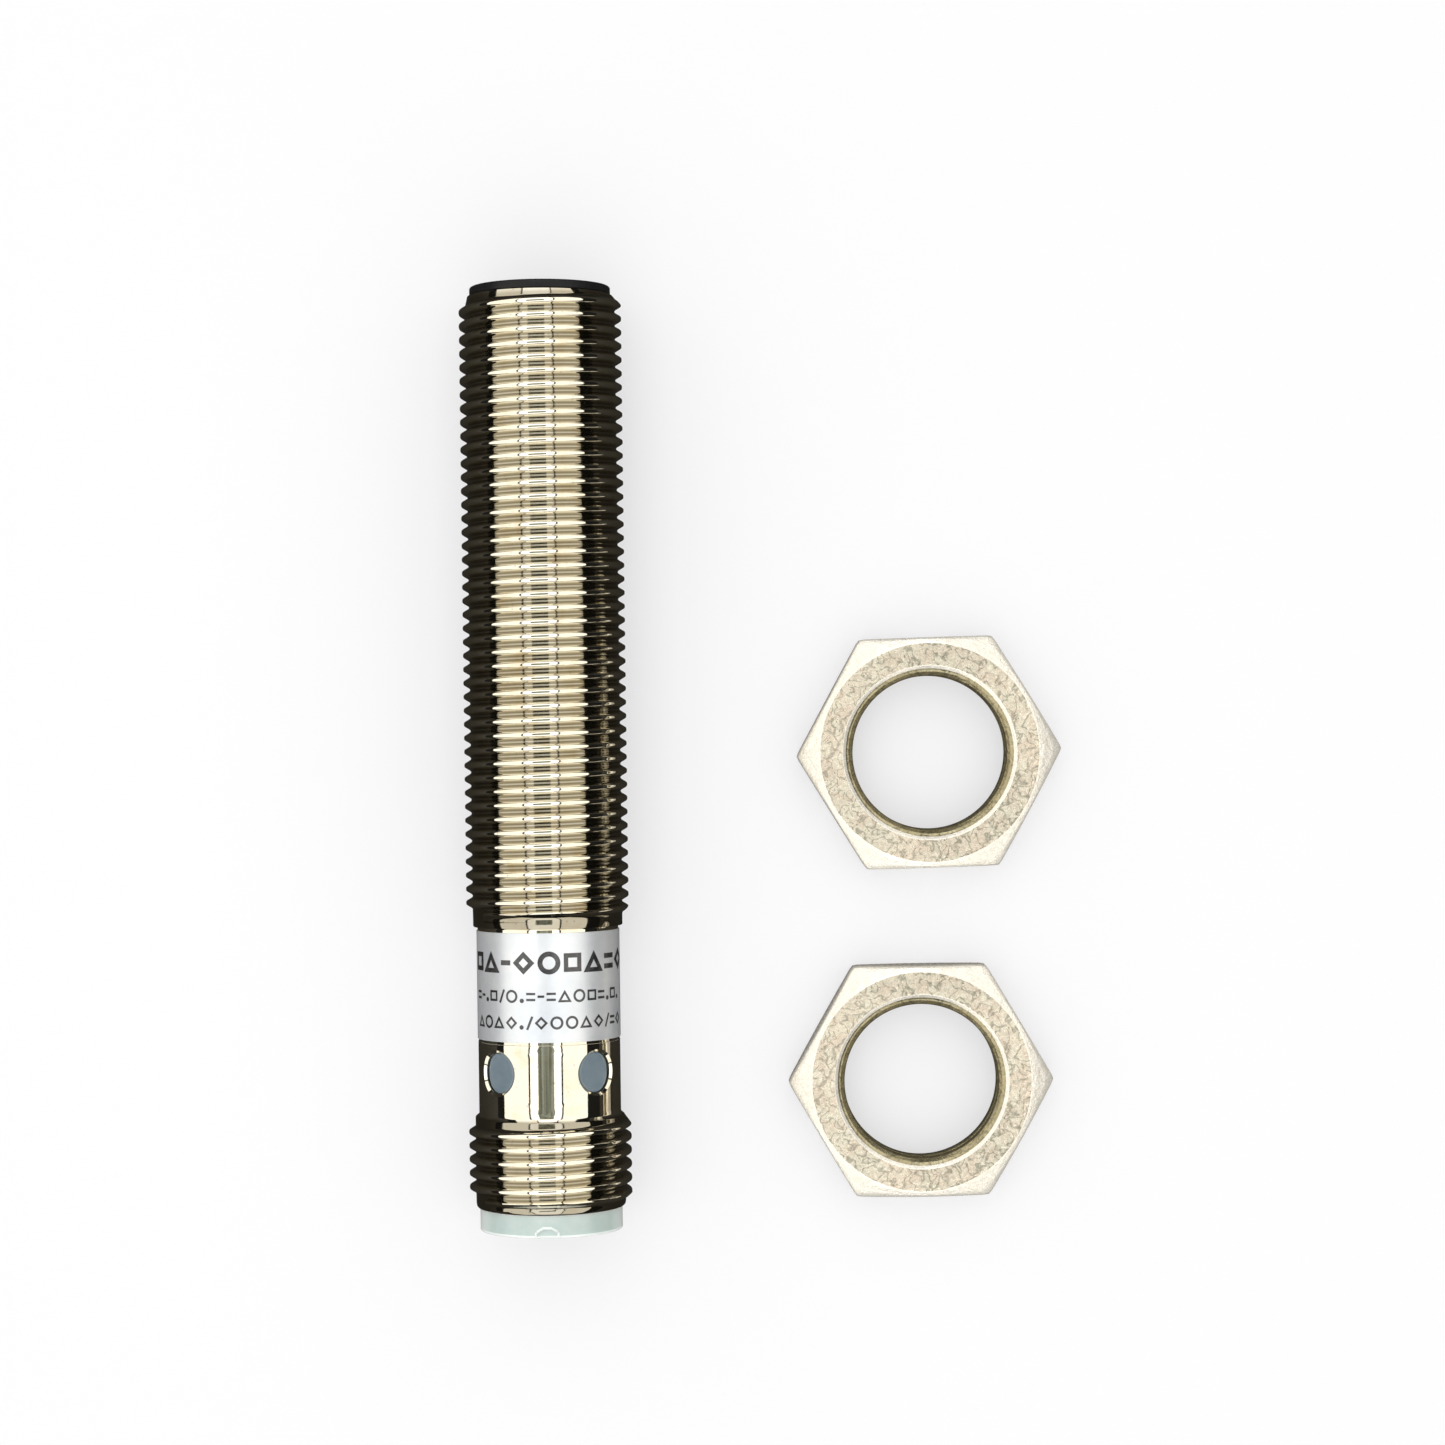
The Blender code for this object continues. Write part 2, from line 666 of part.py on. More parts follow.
def make_connector_insert():
    """The clear plug body: end collar, socket with its key rib, floor and seal groove."""
    profile = (
        (0, INSERT_START), (INSERT_R, INSERT_START), (INSERT_R, SEAL_GROOVE_START),
        (SEAL_GROOVE_R, SEAL_GROOVE_START), (SEAL_GROOVE_R, SEAL_GROOVE_END),
        (INSERT_R, SEAL_GROOVE_END), (INSERT_R, COLLAR_START), (COLLAR_R, COLLAR_START),
        (COLLAR_R, LENGTH - 0.15 * MM), (COLLAR_R - 0.15 * MM, LENGTH), (SOCKET_R, LENGTH),
        (SOCKET_R, SOCKET_FLOOR), (0, SOCKET_FLOOR),
    )
    insert = turned("connector_insert", profile, CLEAR_PLASTIC)
    half = KEY_WIDTH / 2
    rib = boxes("key_rib", [(
        (-half, -(LENGTH - 0.5 * MM), SOCKET_R - 0.7 * MM),
        (half, -(SOCKET_FLOOR - 0.2 * MM), SOCKET_R + 0.15 * MM),
    )])
    combine(insert, rib, "UNION")
    places = pin_places()
    holes = rods("pin_holes", places, PIN_R + GAP, INSERT_START - MM, SOCKET_FLOOR + 0.5 * MM)
    combine(insert, holes, "DIFFERENCE")
    bm = bmesh.new()
    top = Matrix.Translation((0, -(LENGTH + 0.33 * MM), COLLAR_R + 0.3 * MM))
    bmesh.ops.create_cone(
        bm, cap_ends=True, segments=24, radius1=KEY_MARK_R, radius2=KEY_MARK_R, depth=MM,
        matrix=top,
    )
    return combine(insert, add_object("key_mark", bm), "DIFFERENCE")


def make_insert_seal():
    """The round rubber ring in the insert's groove."""
    middle_r = (SEAL_GROOVE_R + REAR_BORE_R) / 2
    middle = (SEAL_GROOVE_START + SEAL_GROOVE_END) / 2
    radius = 0.27 * MM
    profile = [
        (middle_r + radius * math.cos(angle), middle + radius * math.sin(angle))
        for angle in (math.pi * step / 4 for step in range(8))
    ]
    return turned("insert_seal", profile, SEAL_RUBBER)


def make_pins():
    """Four gold contact pins with thin solder tails, set through the insert's floor."""
    profile = (
        (0, PIN_TAIL_START), (PIN_TAIL_R, PIN_TAIL_START), (PIN_TAIL_R, INSERT_START - GAP),
        (PIN_R, INSERT_START), (PIN_R, PIN_TIP - 0.4 * MM), (PIN_R / 2, PIN_TIP), (0, PIN_TIP),
    )
    for number, (x, z) in enumerate(pin_places(), 1):
        pin = turned(f"pin_{number}", profile, GOLD, PIN_SIDES)
        pin.location = (x, 0, z)


def make_pin_leads():
    """A short insulated wire from each pin's tail to the board."""
    radius = 0.25 * MM
    pad_z = BOARD_THICKNESS / 2 + radius + PART_LIFT
    for number, (x, z) in enumerate(pin_places(), 1):
        side_x, side_z = math.copysign(1, x), math.copysign(1, z)
        points = (
            (x, PIN_TAIL_START - GAP, z), (side_x * 1.5 * MM, 56.4 * MM, side_z * 1.7 * MM),
            (side_x * 1.15 * MM, 55.0 * MM, side_z * 1.2 * MM),
            (side_x * MM, 53.9 * MM, side_z * pad_z), (side_x * MM, 52.6 * MM, side_z * pad_z),
        )
        wire(f"pin_lead_{number}", points, radius, WIRE_FINISHES[number - 1])


def make_label():
    """The printed foil wrapped round its seat, with a narrow seam underneath."""
    inner_r = SEAT_R + LABEL_LIFT
    half_seam = LABEL_SEAM / 2
    outlines = []
    for radius in (inner_r, inner_r + LABEL_THICKNESS):
        flat = radius * FLAT_SHARE
        first = round(0.75 * FACETS)
        corners = [facet_angle(first + index) for index in range(FACETS)]
        arc = [(radius * math.cos(angle), radius * math.sin(angle)) for angle in corners]
        outlines.append([(half_seam, -flat), *arc, (-half_seam, -flat)])
    outline = outlines[0] + outlines[1][::-1]
    return extruded("label", outline, LABEL_START, LABEL_END, LABEL_FOIL)


def upright(thing):
    """Turns a piece made along the sensor's axis so that its stations run up from z = 0."""
    for vertex in thing.data.vertices:
        x, y, z = vertex.co
        vertex.co = (x, z, -y)
    return thing


def nut_cutter(name):
    """A threaded rod with a wide mouth at each face of the nut."""
    bm = bmesh.new()
    low, high = -1.5 * MM, NUT_HEIGHT + 1.5 * MM
    bottom = ring(bm, NUT_MINOR_R, low)
    top = ring(bm, NUT_MINOR_R, high)
    turns = (high - low) / PITCH - 1
    start = low + 0.2 * MM
    thread(bm, bottom, top, start, turns, NUT_MINOR_R, lambda station: NUT_MAJOR_R)
    bm.faces.new(bottom)
    bm.faces.new(top)
    return upright(add_object(name, bm))


def nut_mouths(name):
    """The two chamfers of the nut's bore, as a pair of blunt cones."""
    bm = bmesh.new()
    deep, out = 0.9 * MM, 0.4 * MM
    slope = (NUT_MOUTH_R - (NUT_MINOR_R - 0.1 * MM)) / deep
    for face, way in ((0, 1), (NUT_HEIGHT, -1)):
        narrow = NUT_MOUTH_R - slope * deep
        wide = NUT_MOUTH_R + slope * out
        middle = Matrix.Translation((0, 0, face + way * (deep - out) / 2))
        radii = (wide, narrow) if way == 1 else (narrow, wide)
        bmesh.ops.create_cone(
            bm, cap_ends=True, segments=NUT_SIDES, radius1=radii[0], radius2=radii[1],
            depth=deep + out, matrix=middle,
        )
    return add_object(name, bm)


def make_nut(number, x, y, turn_deg):
    """A hexagon nut with both faces chamfered, lying flat on the floor plane."""
    name = f"mounting_nut_{number}"
    bm = bmesh.new()
    corner_r = NUT_WIDTH / math.sqrt(3)
    bmesh.ops.create_cone(
        bm, cap_ends=True, segments=6, radius1=corner_r, radius2=corner_r, depth=NUT_HEIGHT,
        matrix=Matrix.Translation((0, 0, NUT_HEIGHT / 2)) @ Matrix.Rotation(math.pi / 6, 4, "Z"),
    )
    nut = add_object(name, bm, NICKEL)
    drop = (corner_r - NUT_FACE_R) * math.tan(math.radians(30))
    wide = corner_r + 0.5 * MM
    rise = drop * (wide - NUT_FACE_R) / (corner_r - NUT_FACE_R)
    blank = upright(turned(f"{name}_blank", (
        (0, 0), (NUT_FACE_R, 0), (wide, rise), (wide, NUT_HEIGHT - rise),
        (NUT_FACE_R, NUT_HEIGHT), (0, NUT_HEIGHT),
    ), sides=NUT_SIDES))
    helpers = (blank, nut_cutter(f"{name}_thread"), nut_mouths(f"{name}_mouths"))
    combine(nut, helpers[0], "INTERSECT")
    combine(nut, helpers[1], "DIFFERENCE")
    combine(nut, helpers[2], "DIFFERENCE")
    place = bpy.data.objects.new(f"{name}_place", None)
    bpy.context.scene.collection.objects.link(place)
    place.location = (x, y, FLOOR_Z)
    place.rotation_euler = (0, 0, math.radians(turn_deg))
    for thing in (nut, *helpers):
        thing.parent = place
    return nut


def main():
    clear_scene()
    make_barrel()
    make_connector_sleeve()
    make_sensing_cap()
    make_shield_ring()
    make_ferrite_core()
    make_coil_bobbin()
    make_coil_winding()
    make_coil_leads()
    make_core_holder()
    make_circuit_board()
    make_board_parts()
    make_leds()
    make_potting_plug()
    make_light_guide()
    make_connector_insert()
    make_insert_seal()
    make_pins()
    make_pin_leads()
    make_label()
    for number, (x, y, turn_deg) in enumerate(NUT_PLACES, 1):
        make_nut(number, x, y, turn_deg)


main()
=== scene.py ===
"""Looks of an M12 proximity sensor and its two loose nuts: fine meshes, finishes, light and camera."""

import json
import logging
import math
import random
from collections.abc import Callable, Iterable, Sequence
from dataclasses import dataclass
from enum import Enum

import bmesh
import bpy
from mathutils import Matrix, Vector


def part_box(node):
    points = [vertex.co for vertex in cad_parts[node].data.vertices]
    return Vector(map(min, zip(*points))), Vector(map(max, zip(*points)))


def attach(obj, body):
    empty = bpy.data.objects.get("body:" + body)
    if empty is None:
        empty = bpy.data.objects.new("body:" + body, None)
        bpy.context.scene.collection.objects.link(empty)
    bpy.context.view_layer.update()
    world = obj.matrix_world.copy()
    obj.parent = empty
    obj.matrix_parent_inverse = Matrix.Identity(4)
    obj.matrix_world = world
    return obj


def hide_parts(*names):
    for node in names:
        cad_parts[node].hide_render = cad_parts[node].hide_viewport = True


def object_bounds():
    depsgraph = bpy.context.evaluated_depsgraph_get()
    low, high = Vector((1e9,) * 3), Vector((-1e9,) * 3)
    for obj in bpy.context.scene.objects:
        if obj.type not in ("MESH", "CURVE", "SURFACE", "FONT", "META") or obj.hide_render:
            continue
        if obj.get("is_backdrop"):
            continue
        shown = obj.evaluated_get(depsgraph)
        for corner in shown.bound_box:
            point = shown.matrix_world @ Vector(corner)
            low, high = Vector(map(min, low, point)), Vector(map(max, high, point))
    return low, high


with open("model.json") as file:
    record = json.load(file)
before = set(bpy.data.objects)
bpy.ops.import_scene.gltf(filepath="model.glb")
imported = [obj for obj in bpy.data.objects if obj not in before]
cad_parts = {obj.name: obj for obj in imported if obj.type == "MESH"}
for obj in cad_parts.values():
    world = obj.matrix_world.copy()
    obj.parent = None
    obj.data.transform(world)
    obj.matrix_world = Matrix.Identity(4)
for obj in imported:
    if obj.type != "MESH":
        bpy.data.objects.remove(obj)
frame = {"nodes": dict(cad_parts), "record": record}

LOG = logging.getLogger("proximity_sensor")
MM = 0.001
TURN = 2 * math.pi
WINDOW_ANGLES = tuple(TURN * (quarter + 0.5) / 4 for quarter in range(4))
Colour = tuple[float, float, float]
Point = tuple[float, float, float]
Spot = tuple[float, float]
Material = bpy.types.Material
Node = bpy.types.Node
NodeTree = bpy.types.NodeTree
Object = bpy.types.Object
Socket = bpy.types.NodeSocket


class Body(Enum):
    """The rigid bodies of the frame that pieces ride on."""

    SENSOR = "sensor"
    NUT_1 = "nut_1"
    NUT_2 = "nut_2"


class NutZone(Enum):
    """The zones of a nut, in the order of its material slots: the plated face; the edges, chamfers and
    flanks in a lighter copy of the plate, a painted highlight; the bore in a darker copy, a painted
    shade.
    """

    FACE = 0
    SIDE = 1
    BORE = 2


class Sign(Enum):
    """The plain generic signs printed on the label."""

    RING = "ring"
    DIAMOND = "diamond"
    SQUARE = "square"
    TRIANGLE = "triangle"
    DASH = "dash"
    DOT = "dot"
    SLASH = "slash"
    PAIR = "pair"


class Effect(Enum):
    """The shader effects that several finishes share."""

    PATCHES = "patches"
    PITS = "pits"
    WORMS = "worms"
    TURNING_LINES = "turning_lines"
    AXIS_DISTANCE = "axis_distance"


# --------------------------------------------------------------------------- shader wiring


class Wiring:
    """Adds nodes to one shader tree and joins them."""

    def __init__(self, tree: NodeTree) -> None:
        """Keeps the tree that the nodes go into."""
        self.tree = tree

    def node(self, kind: str, values: dict | None = None, **settings: object) -> Node:
        """Adds one node.

        Args:
            kind: The node's type name.
            values: Socket values or sockets to link, by input name or number.
            settings: Attributes of the node itself.

        Returns:
            The new node.
        """
        made = self.tree.nodes.new(kind)
        for name, value in settings.items():
            setattr(made, name, value)
        for key, value in (values or {}).items():
            self.feed(value, made.inputs[key])
        return made

    def feed(self, value: object, socket: Socket) -> None:
        """Links a socket to an input, or sets the input's own value.

        Args:
            value: An output socket, a number or a colour.
            socket: The input that takes it.
        """
        if isinstance(value, Socket):
            self.tree.links.new(value, socket)
        elif isinstance(value, tuple) and socket.type == "RGBA":
            socket.default_value = (*value, 1.0)
        else:
            socket.default_value = value

    def math(self, operation: str, first: object, second: object = 0.0) -> Socket:
        """The result of one Math node."""
        return self.node("ShaderNodeMath", {0: first, 1: second}, operation=operation).outputs[0]

    def total(self, *parts: tuple[Socket, float]) -> Socket:
        """Adds values up, each times its own factor.

        Args:
            parts: The values' sockets and their factors.

        Returns:
            The sum's socket.
        """
        result = None
        for value, factor in parts:
            term = value if factor == 1 else self.math("MULTIPLY", value, factor)
            result = self.math("ADD", result, term) if result else term
        return result

    def blend(self, share: object, low: object, high: object) -> Socket:
        """A mix of two colours: the first where the share is 0, the second where it is 1."""
        values = {"Factor": share, 6: low, 7: high}
        return self.node("ShaderNodeMix", values, data_type="RGBA").outputs[2]

    def spread(self, value: object, low: object, high: object, to_low: float = 0.0,
               to_high: float = 1.0) -> Socket:
        """A value mapped from the range low to high to another range, and kept inside it."""
        values = {"Value": value, "From Min": low, "From Max": high, "To Min": to_low,
                  "To Max": to_high}
        return self.node("ShaderNodeMapRange", values).outputs["Result"]


class EffectGroup:
    """One shared effect as a shader group: a Vector and some numbers in, one value out."""

    INPUTS = {
        Effect.PATCHES: {"Scale": 500.0, "Low": 0.4, "High": 0.6},
        Effect.PITS: {"Scale": 2000.0, "Size": 0.25},
        Effect.WORMS: {"Scale": 2000.0, "Width": 0.05},
        Effect.TURNING_LINES: {"Spacing": 12000.0},
        Effect.AXIS_DISTANCE: {"Inner": 5.3 * MM, "Outer": 5.9 * MM},
    }
    built: dict[Effect, NodeTree] = {}

    def __init__(self, effect: Effect) -> None:
        """Makes the group's sockets, fills it and keeps it for every finish.

        Args:
            effect: Which effect.
        """
        tree = bpy.data.node_groups.new(effect.value, "ShaderNodeTree")
        add = tree.interface.new_socket
        add("Vector", in_out="INPUT", socket_type="NodeSocketVector")
        for key, value in self.INPUTS[effect].items():
            add(key, in_out="INPUT", socket_type="NodeSocketFloat").default_value = value
        output = "Height" if effect is Effect.TURNING_LINES else "Mask"
        add(output, in_out="OUTPUT", socket_type="NodeSocketFloat")
        self.wiring = Wiring(tree)
        self.given = self.wiring.node("NodeGroupInput").outputs
        self.wiring.node("NodeGroupOutput", {output: getattr(self, effect.value)()})
        self.built[effect] = tree

    @classmethod
    def tree_of(cls, effect: Effect) -> NodeTree:
        """The effect's group, built when it is first asked for."""
        return (cls.built if effect in cls.built else cls(effect).built)[effect]

    def texture(self, kind: str, **values: float) -> Node:
        """A texture that follows the group's Vector and Scale."""
        places = {key: self.given[key] for key in ("Vector", "Scale")}
        return self.wiring.node(kind, {**places, **values})

    def part(self, way: str) -> Socket:
        """One coordinate of the group's Vector."""
        return self.wiring.node("ShaderNodeSeparateXYZ", {0: self.given["Vector"]}).outputs[way]

    def patches(self) -> Socket:
        """Soft patches for stains and uneven plating."""
        noise = self.texture("ShaderNodeTexNoise", Detail=5.0, Roughness=0.62)
        return self.wiring.spread(noise.outputs[0], self.given["Low"], self.given["High"])

    def pits(self) -> Socket:
        """Small round pits and specks."""
        near = self.texture("ShaderNodeTexVoronoi").outputs["Distance"]
        return self.wiring.spread(near, 0.0, self.given["Size"], 1.0, 0.0)

    def worms(self) -> Socket:
        """Short winding grooves, like etched or orange-peel plate, from a noise's middle level.

        Returns:
            The mask, 1 in the grooves.
        """
        noise = self.texture("ShaderNodeTexNoise", Detail=1.5, Distortion=0.6)
        off = self.wiring.math("ABSOLUTE", self.wiring.math("SUBTRACT", noise.outputs[0], 0.5))
        return self.wiring.spread(off, 0.0, self.given["Width"], 1.0, 0.0)

    def turning_lines(self) -> Socket:
        """Fine lines left by a lathe, straight round the Y axis. Spacing is in lines per metre.

        Returns:
            The lines' height.
        """
        along = self.wiring.math("MULTIPLY", self.part("Y"), self.given["Spacing"])
        values = {"W": along, "Scale": 1.0, "Detail": 3.0}
        return self.wiring.node("ShaderNodeTexNoise", values, noise_dimensions="1D").outputs[0]

    def axis_distance(self) -> Socket:
        """How far out a point lies from the Y axis, between the radii Inner and Outer.

        Returns:
            The mask, 0 at Inner and 1 at Outer.
        """
        squares = [self.wiring.math("POWER", self.wiring.math("ABSOLUTE", self.part(way)), 2.0)
                   for way in ("X", "Z")]
        reach = self.wiring.math("SQRT", self.wiring.math("ADD", *squares))
        return self.wiring.spread(reach, self.given["Inner"], self.given["Outer"])


class Coat:
    """One material in the making, round its Principled shader."""

    def __init__(self, name: str) -> None:
        """Makes an untouched material.

        Args:
            name: The material's name.
        """
        self.material = bpy.data.materials.new(name)
        self.material.use_nodes = True
        self.wiring = Wiring(self.material.node_tree)
        self.shader = self.material.node_tree.nodes["Principled BSDF"]
        self.place = self.wiring.node("ShaderNodeTexCoord").outputs["Object"]

    def effect(self, effect: Effect, *values: float) -> Socket:
        """Places a shared effect, with its own values for the inputs after Vector."""
        inputs = {"Vector": self.place, **dict(zip(EffectGroup.INPUTS[effect], values))}
        return self.wiring.node("ShaderNodeGroup", inputs,
                                node_tree=EffectGroup.tree_of(effect)).outputs[0]

    def patches(self, scale: float, low: float, high: float) -> Socket:
        """Soft patches of a scale, between two levels of their noise."""
        return self.effect(Effect.PATCHES, scale, low, high)

    def over(self, colour: object, other: object, mask: Socket, amount: float = 1.0) -> Socket:
        """A colour with another laid over it, as far as a mask and an amount say."""
        return self.wiring.blend(self.wiring.total((mask, amount)), colour, other)

    def rough(self, mask: Socket, low: float, high: float) -> Socket:
        """A roughness between two values, as a mask says."""
        return self.wiring.spread(mask, 0.0, 1.0, low, high)

    def relief(self, height: Socket, strength: float, depth: float) -> Socket:
        """The normal of a relief, from its height, strength and real depth in metres."""
        values = {"Height": height, "Strength": strength, "Distance": depth}
        return self.wiring.node("ShaderNodeBump", values).outputs["Normal"]

    def done(self, inputs: dict[str, object]) -> Material:
        """Feeds the shader.

        Args:
            inputs: Values or sockets, by the name of the shader's input.

        Returns:
            The finished material.
        """
        for name, value in inputs.items():
            self.wiring.feed(value, self.shader.inputs[name])
        return self.material


# --------------------------------------------------------------------------- finishes


@dataclass(frozen=True)
class TurnedNickel:
    """Bright nickel plate over turned brass, darker in the thread's roots: partly grime, partly painted
    shade.
    """

    name: str = "turned_nickel"
    clean: Colour = (0.93, 0.88, 0.74)
    stain: Colour = (0.74, 0.62, 0.42)
    # The dark colour: grime in the pits, and in the thread's roots grime together with painted shade.
    grime_and_shade: Colour = (0.13, 0.10, 0.045)
    root_radius: float = 5.50 * MM
    crest_radius: float = 5.80 * MM
    smooth_radius: float = 5.22 * MM
    threaded_radius: float = 5.4 * MM
    smooth_roughness: float = 0.025
    dull_roughness: float = 0.11

    def build(self) -> Material:
        """Makes the material.

        Returns:
            The material.
        """
        coat = Coat(self.name)
        wiring = coat.wiring
        stains, dulls = coat.patches(480.0, 0.5, 0.72), coat.patches(1500.0, 0.42, 0.8)
        lines, specks = coat.effect(Effect.TURNING_LINES, 16000.0), coat.effect(Effect.PITS, 1400.0, 0.14)
        height = coat.effect(Effect.AXIS_DISTANCE, self.root_radius, self.crest_radius)
        threaded = coat.effect(Effect.AXIS_DISTANCE, self.smooth_radius, self.threaded_radius)
        # Mask of the thread's roots, darkened below: partly grime, partly painted shade of the roots.
        root_dirt_and_shade_mask = wiring.math("MULTIPLY", wiring.math("SUBTRACT", 1.0, height), threaded)
        colour = coat.over(self.clean, self.stain, stains, 0.6)
        colour = coat.over(colour, self.grime_and_shade, root_dirt_and_shade_mask, 0.62)
        dull = wiring.total((dulls, 1), (root_dirt_and_shade_mask, 0.5))
        relief = wiring.total((lines, 1), (dulls, 0.6), (specks, -1))
        return coat.done({
            "Base Color": coat.over(colour, self.grime_and_shade, specks, 0.4), "Metallic": 1.0,
            "Roughness": wiring.spread(dull, 0.0, 1.5, self.smooth_roughness, self.dull_roughness),
            "Normal": coat.relief(relief, 0.22, 0.003 * MM),
        })


@dataclass(frozen=True)
class PittedPlate:
    """Barrel-plated steel or brass with a speckled, orange-peel face."""

    name: str
    light: Colour = (0.86, 0.79, 0.64)
    warm: Colour = (0.74, 0.58, 0.46)
    dark: Colour = (0.20, 0.20, 0.15)
    speckle: float = 0.92
    low_roughness: float = 0.24
    high_roughness: float = 0.48
    relief: float = 0.9
    metallic: float = 1.0

    def build(self) -> Material:
        """Makes the material.

        Returns:
            The material.
        """
        coat = Coat(self.name)
        coarse, fine = coat.patches(900.0, 0.42, 0.6), coat.patches(4200.0, 0.42, 0.62)
        wide = coat.patches(150.0, 0.38, 0.62)
        worms = coat.effect(Effect.WORMS, 1250.0, 0.055)
        dark = coat.wiring.total((worms, 0.62), (fine, 0.3), (wide, 0.22))
        dark = coat.wiring.spread(dark, 0.0, 1.1, 0.0, self.speckle)
        height = coat.wiring.total((coarse, 0.5), (worms, -1), (fine, -1))
        return coat.done({
            "Base Color": coat.over(coat.over(self.light, self.warm, coarse, 0.5), self.dark, dark),
            "Roughness": coat.rough(fine, self.low_roughness, self.high_roughness),
            "Metallic": self.metallic, "Normal": coat.relief(height, self.relief, 0.02 * MM),
        })


@dataclass(frozen=True)
class MouldedPlastic:
    """Opaque moulded plastic or rubber with a fine grain."""

    name: str
    colour: Colour
    worn: Colour
    low_roughness: float = 0.35
    high_roughness: float = 0.55
    gloss: float = 0.5

    def build(self) -> Material:
        """Makes the material.

        Returns:
            The material.
        """
        coat = Coat(self.name)
        grain, wear = coat.patches(2600.0, 0.35, 0.7), coat.patches(700.0, 0.5, 0.75)
        return coat.done({
            "Base Color": coat.over(self.colour, self.worn, wear),
            "Roughness": coat.rough(grain, self.low_roughness, self.high_roughness),
            "Specular IOR Level": self.gloss, "Normal": coat.relief(grain, 0.4, 0.008 * MM),
        })


@dataclass(frozen=True)
class FrostedPlastic:
    """Translucent grey-blue or grey-green plastic with a glossy skin, and a painted sheen that makes it
    paler where the surface turns away from the view.
    """

    name: str
    colour: Colour
    cloud: Colour
    # edge: the painted sheen's colour, shown where the surface turns away from the view.
    edge: Colour
    roughness: float = 0.14

    def build(self) -> Material:
        """Makes the material.

        Returns:
            The material.
        """
        coat = Coat(self.name)
        cloud, ripple = coat.patches(380.0, 0.35, 0.7), coat.patches(1100.0, 0.3, 0.8)
        # Painted sheen: the colour turns paler where the surface turns away from the view.
        facing = coat.wiring.node("ShaderNodeLayerWeight", {"Blend": 0.5}).outputs["Facing"]
        rim = coat.wiring.spread(facing, 0.45, 0.95)
        return coat.done({
            "Base Color": coat.over(coat.over(self.colour, self.cloud, cloud), self.edge, rim),
            "Roughness": coat.rough(ripple, self.roughness, self.roughness + 0.1),
            "Subsurface Weight": 0.5, "Subsurface Radius": (0.8, 1.0, 1.0),
            "Subsurface Scale": 0.8 * MM, "IOR": 1.52,
            "Normal": coat.relief(ripple, 0.3, 0.01 * MM),
        })


@dataclass(frozen=True)
class SilverFoil:
    """The label's silver-grey film under a clear skin."""

    name: str = "silver_foil"
    colour: Colour = (0.88, 0.90, 0.92)
    shade: Colour = (0.72, 0.77, 0.83)

    def build(self) -> Material:
        """Makes the material.

        Returns:
            The material.
        """
        coat = Coat(self.name)
        cloud, grain = coat.patches(260.0, 0.35, 0.75), coat.patches(5200.0, 0.3, 0.7)
        return coat.done({
            "Base Color": coat.over(self.colour, self.shade, cloud),
            "Roughness": coat.rough(grain, 0.34, 0.46), "Metallic": 0.6,
            "Coat Weight": 0.4, "Coat Roughness": 0.2,
            "Normal": coat.relief(grain, 0.25, 0.006 * MM),
        })


@dataclass(frozen=True)
class PrintedInk:
    """Black print with slightly uneven cover."""

    name: str = "printed_ink"
    colour: Colour = (0.012, 0.012, 0.014)
    thin: Colour = (0.06, 0.06, 0.06)

    def build(self) -> Material:
        """Makes the material.

        Returns:
            The material.
        """
        coat = Coat(self.name)
        cover = coat.patches(3200.0, 0.45, 0.75)
        return coat.done({
            "Base Color": coat.over(self.colour, self.thin, cover),
            "Roughness": coat.rough(cover, 0.28, 0.42), "IOR": 1.75,
            "Coat Weight": 0.6, "Coat Roughness": 0.15,
        })


@dataclass(frozen=True)
class SmoothMetal:
    """Plain bright metal such as gold plate or copper."""

    name: str
    colour: Colour
    tarnish: Colour

    def build(self) -> Material:
        """Makes the material.

        Returns:
            The material.
        """
        coat = Coat(self.name)
        cloud = coat.patches(900.0, 0.4, 0.75)
        lines = coat.effect(Effect.TURNING_LINES, 22000.0)
        return coat.done({
            "Base Color": coat.over(self.colour, self.tarnish, cloud), "Metallic": 1.0,
            "Roughness": coat.rough(cloud, 0.14, 0.3),
            "Normal": coat.relief(lines, 0.25, 0.004 * MM),
        })


@dataclass(frozen=True)
class StudioPaper:
    """Matt white backdrop paper; in polished metal it shows near-black, a painted reflection of a dim
    ground.
    """

    name: str = "studio_paper"
    colour: Colour = (0.40, 0.40, 0.41)
    glow: Colour = (0.50, 0.50, 0.51)
    painted_dark_reflection: Colour = (0.012, 0.011, 0.009)

    def build(self) -> Material:
        """Makes the material.

        Returns:
            The material.
        """
        coat = Coat(self.name)
        # Painted reflection: reflected rays see the paper near-black, as a dim ground.
        glossy = coat.wiring.node("ShaderNodeLightPath").outputs["Is Glossy Ray"]
        return coat.done({
            "Base Color": coat.over(self.colour, self.painted_dark_reflection, glossy),
            "Emission Color": coat.over(self.glow, self.painted_dark_reflection, glossy),
            "Emission Strength": 1.0, "Roughness": 0.9, "Specular IOR Level": 0.1,
        })


# --------------------------------------------------------------------------- mesh making


def mix(first: Sequence[float], second: Sequence[float], part: float) -> tuple[float, ...]:
    """The point that lies this part of the way from one point to another."""
    return tuple(low + (high - low) * part for low, high in zip(first, second))


def share(value: float, low: float, high: float) -> float:
    """How far a value lies from low to high, clamped to 0 and 1."""
    return min(max((value - low) / (high - low), 0.0), 1.0)


def ease(value: float) -> float:
    """A smooth step from 0 to 1."""
    return value * value * (3 - 2 * value)


def wrapped(angle: float) -> float:
    """The same angle between minus and plus half a turn."""
    return math.atan2(math.sin(angle), math.cos(angle))


def thread_height(phase: float) -> float:
    """The height of a 60 degree thread with a broad, rounded crest.

    Args:
        phase: Where along the pitch, from 0 to 1, with the crest at 0.5.

    Returns:
        0 in the root and 1 on the crest.
    """
    root_edge, flank, softness = 0.42, 0.28, 0.05
    offsets = [softness * (step - 2) / 2 for step in range(5)]
    away = [abs((phase + offset) % 1.0 - 0.5) for offset in offsets]
    return sum(share(root_edge - each, 0.0, flank) for each in away) / len(away)


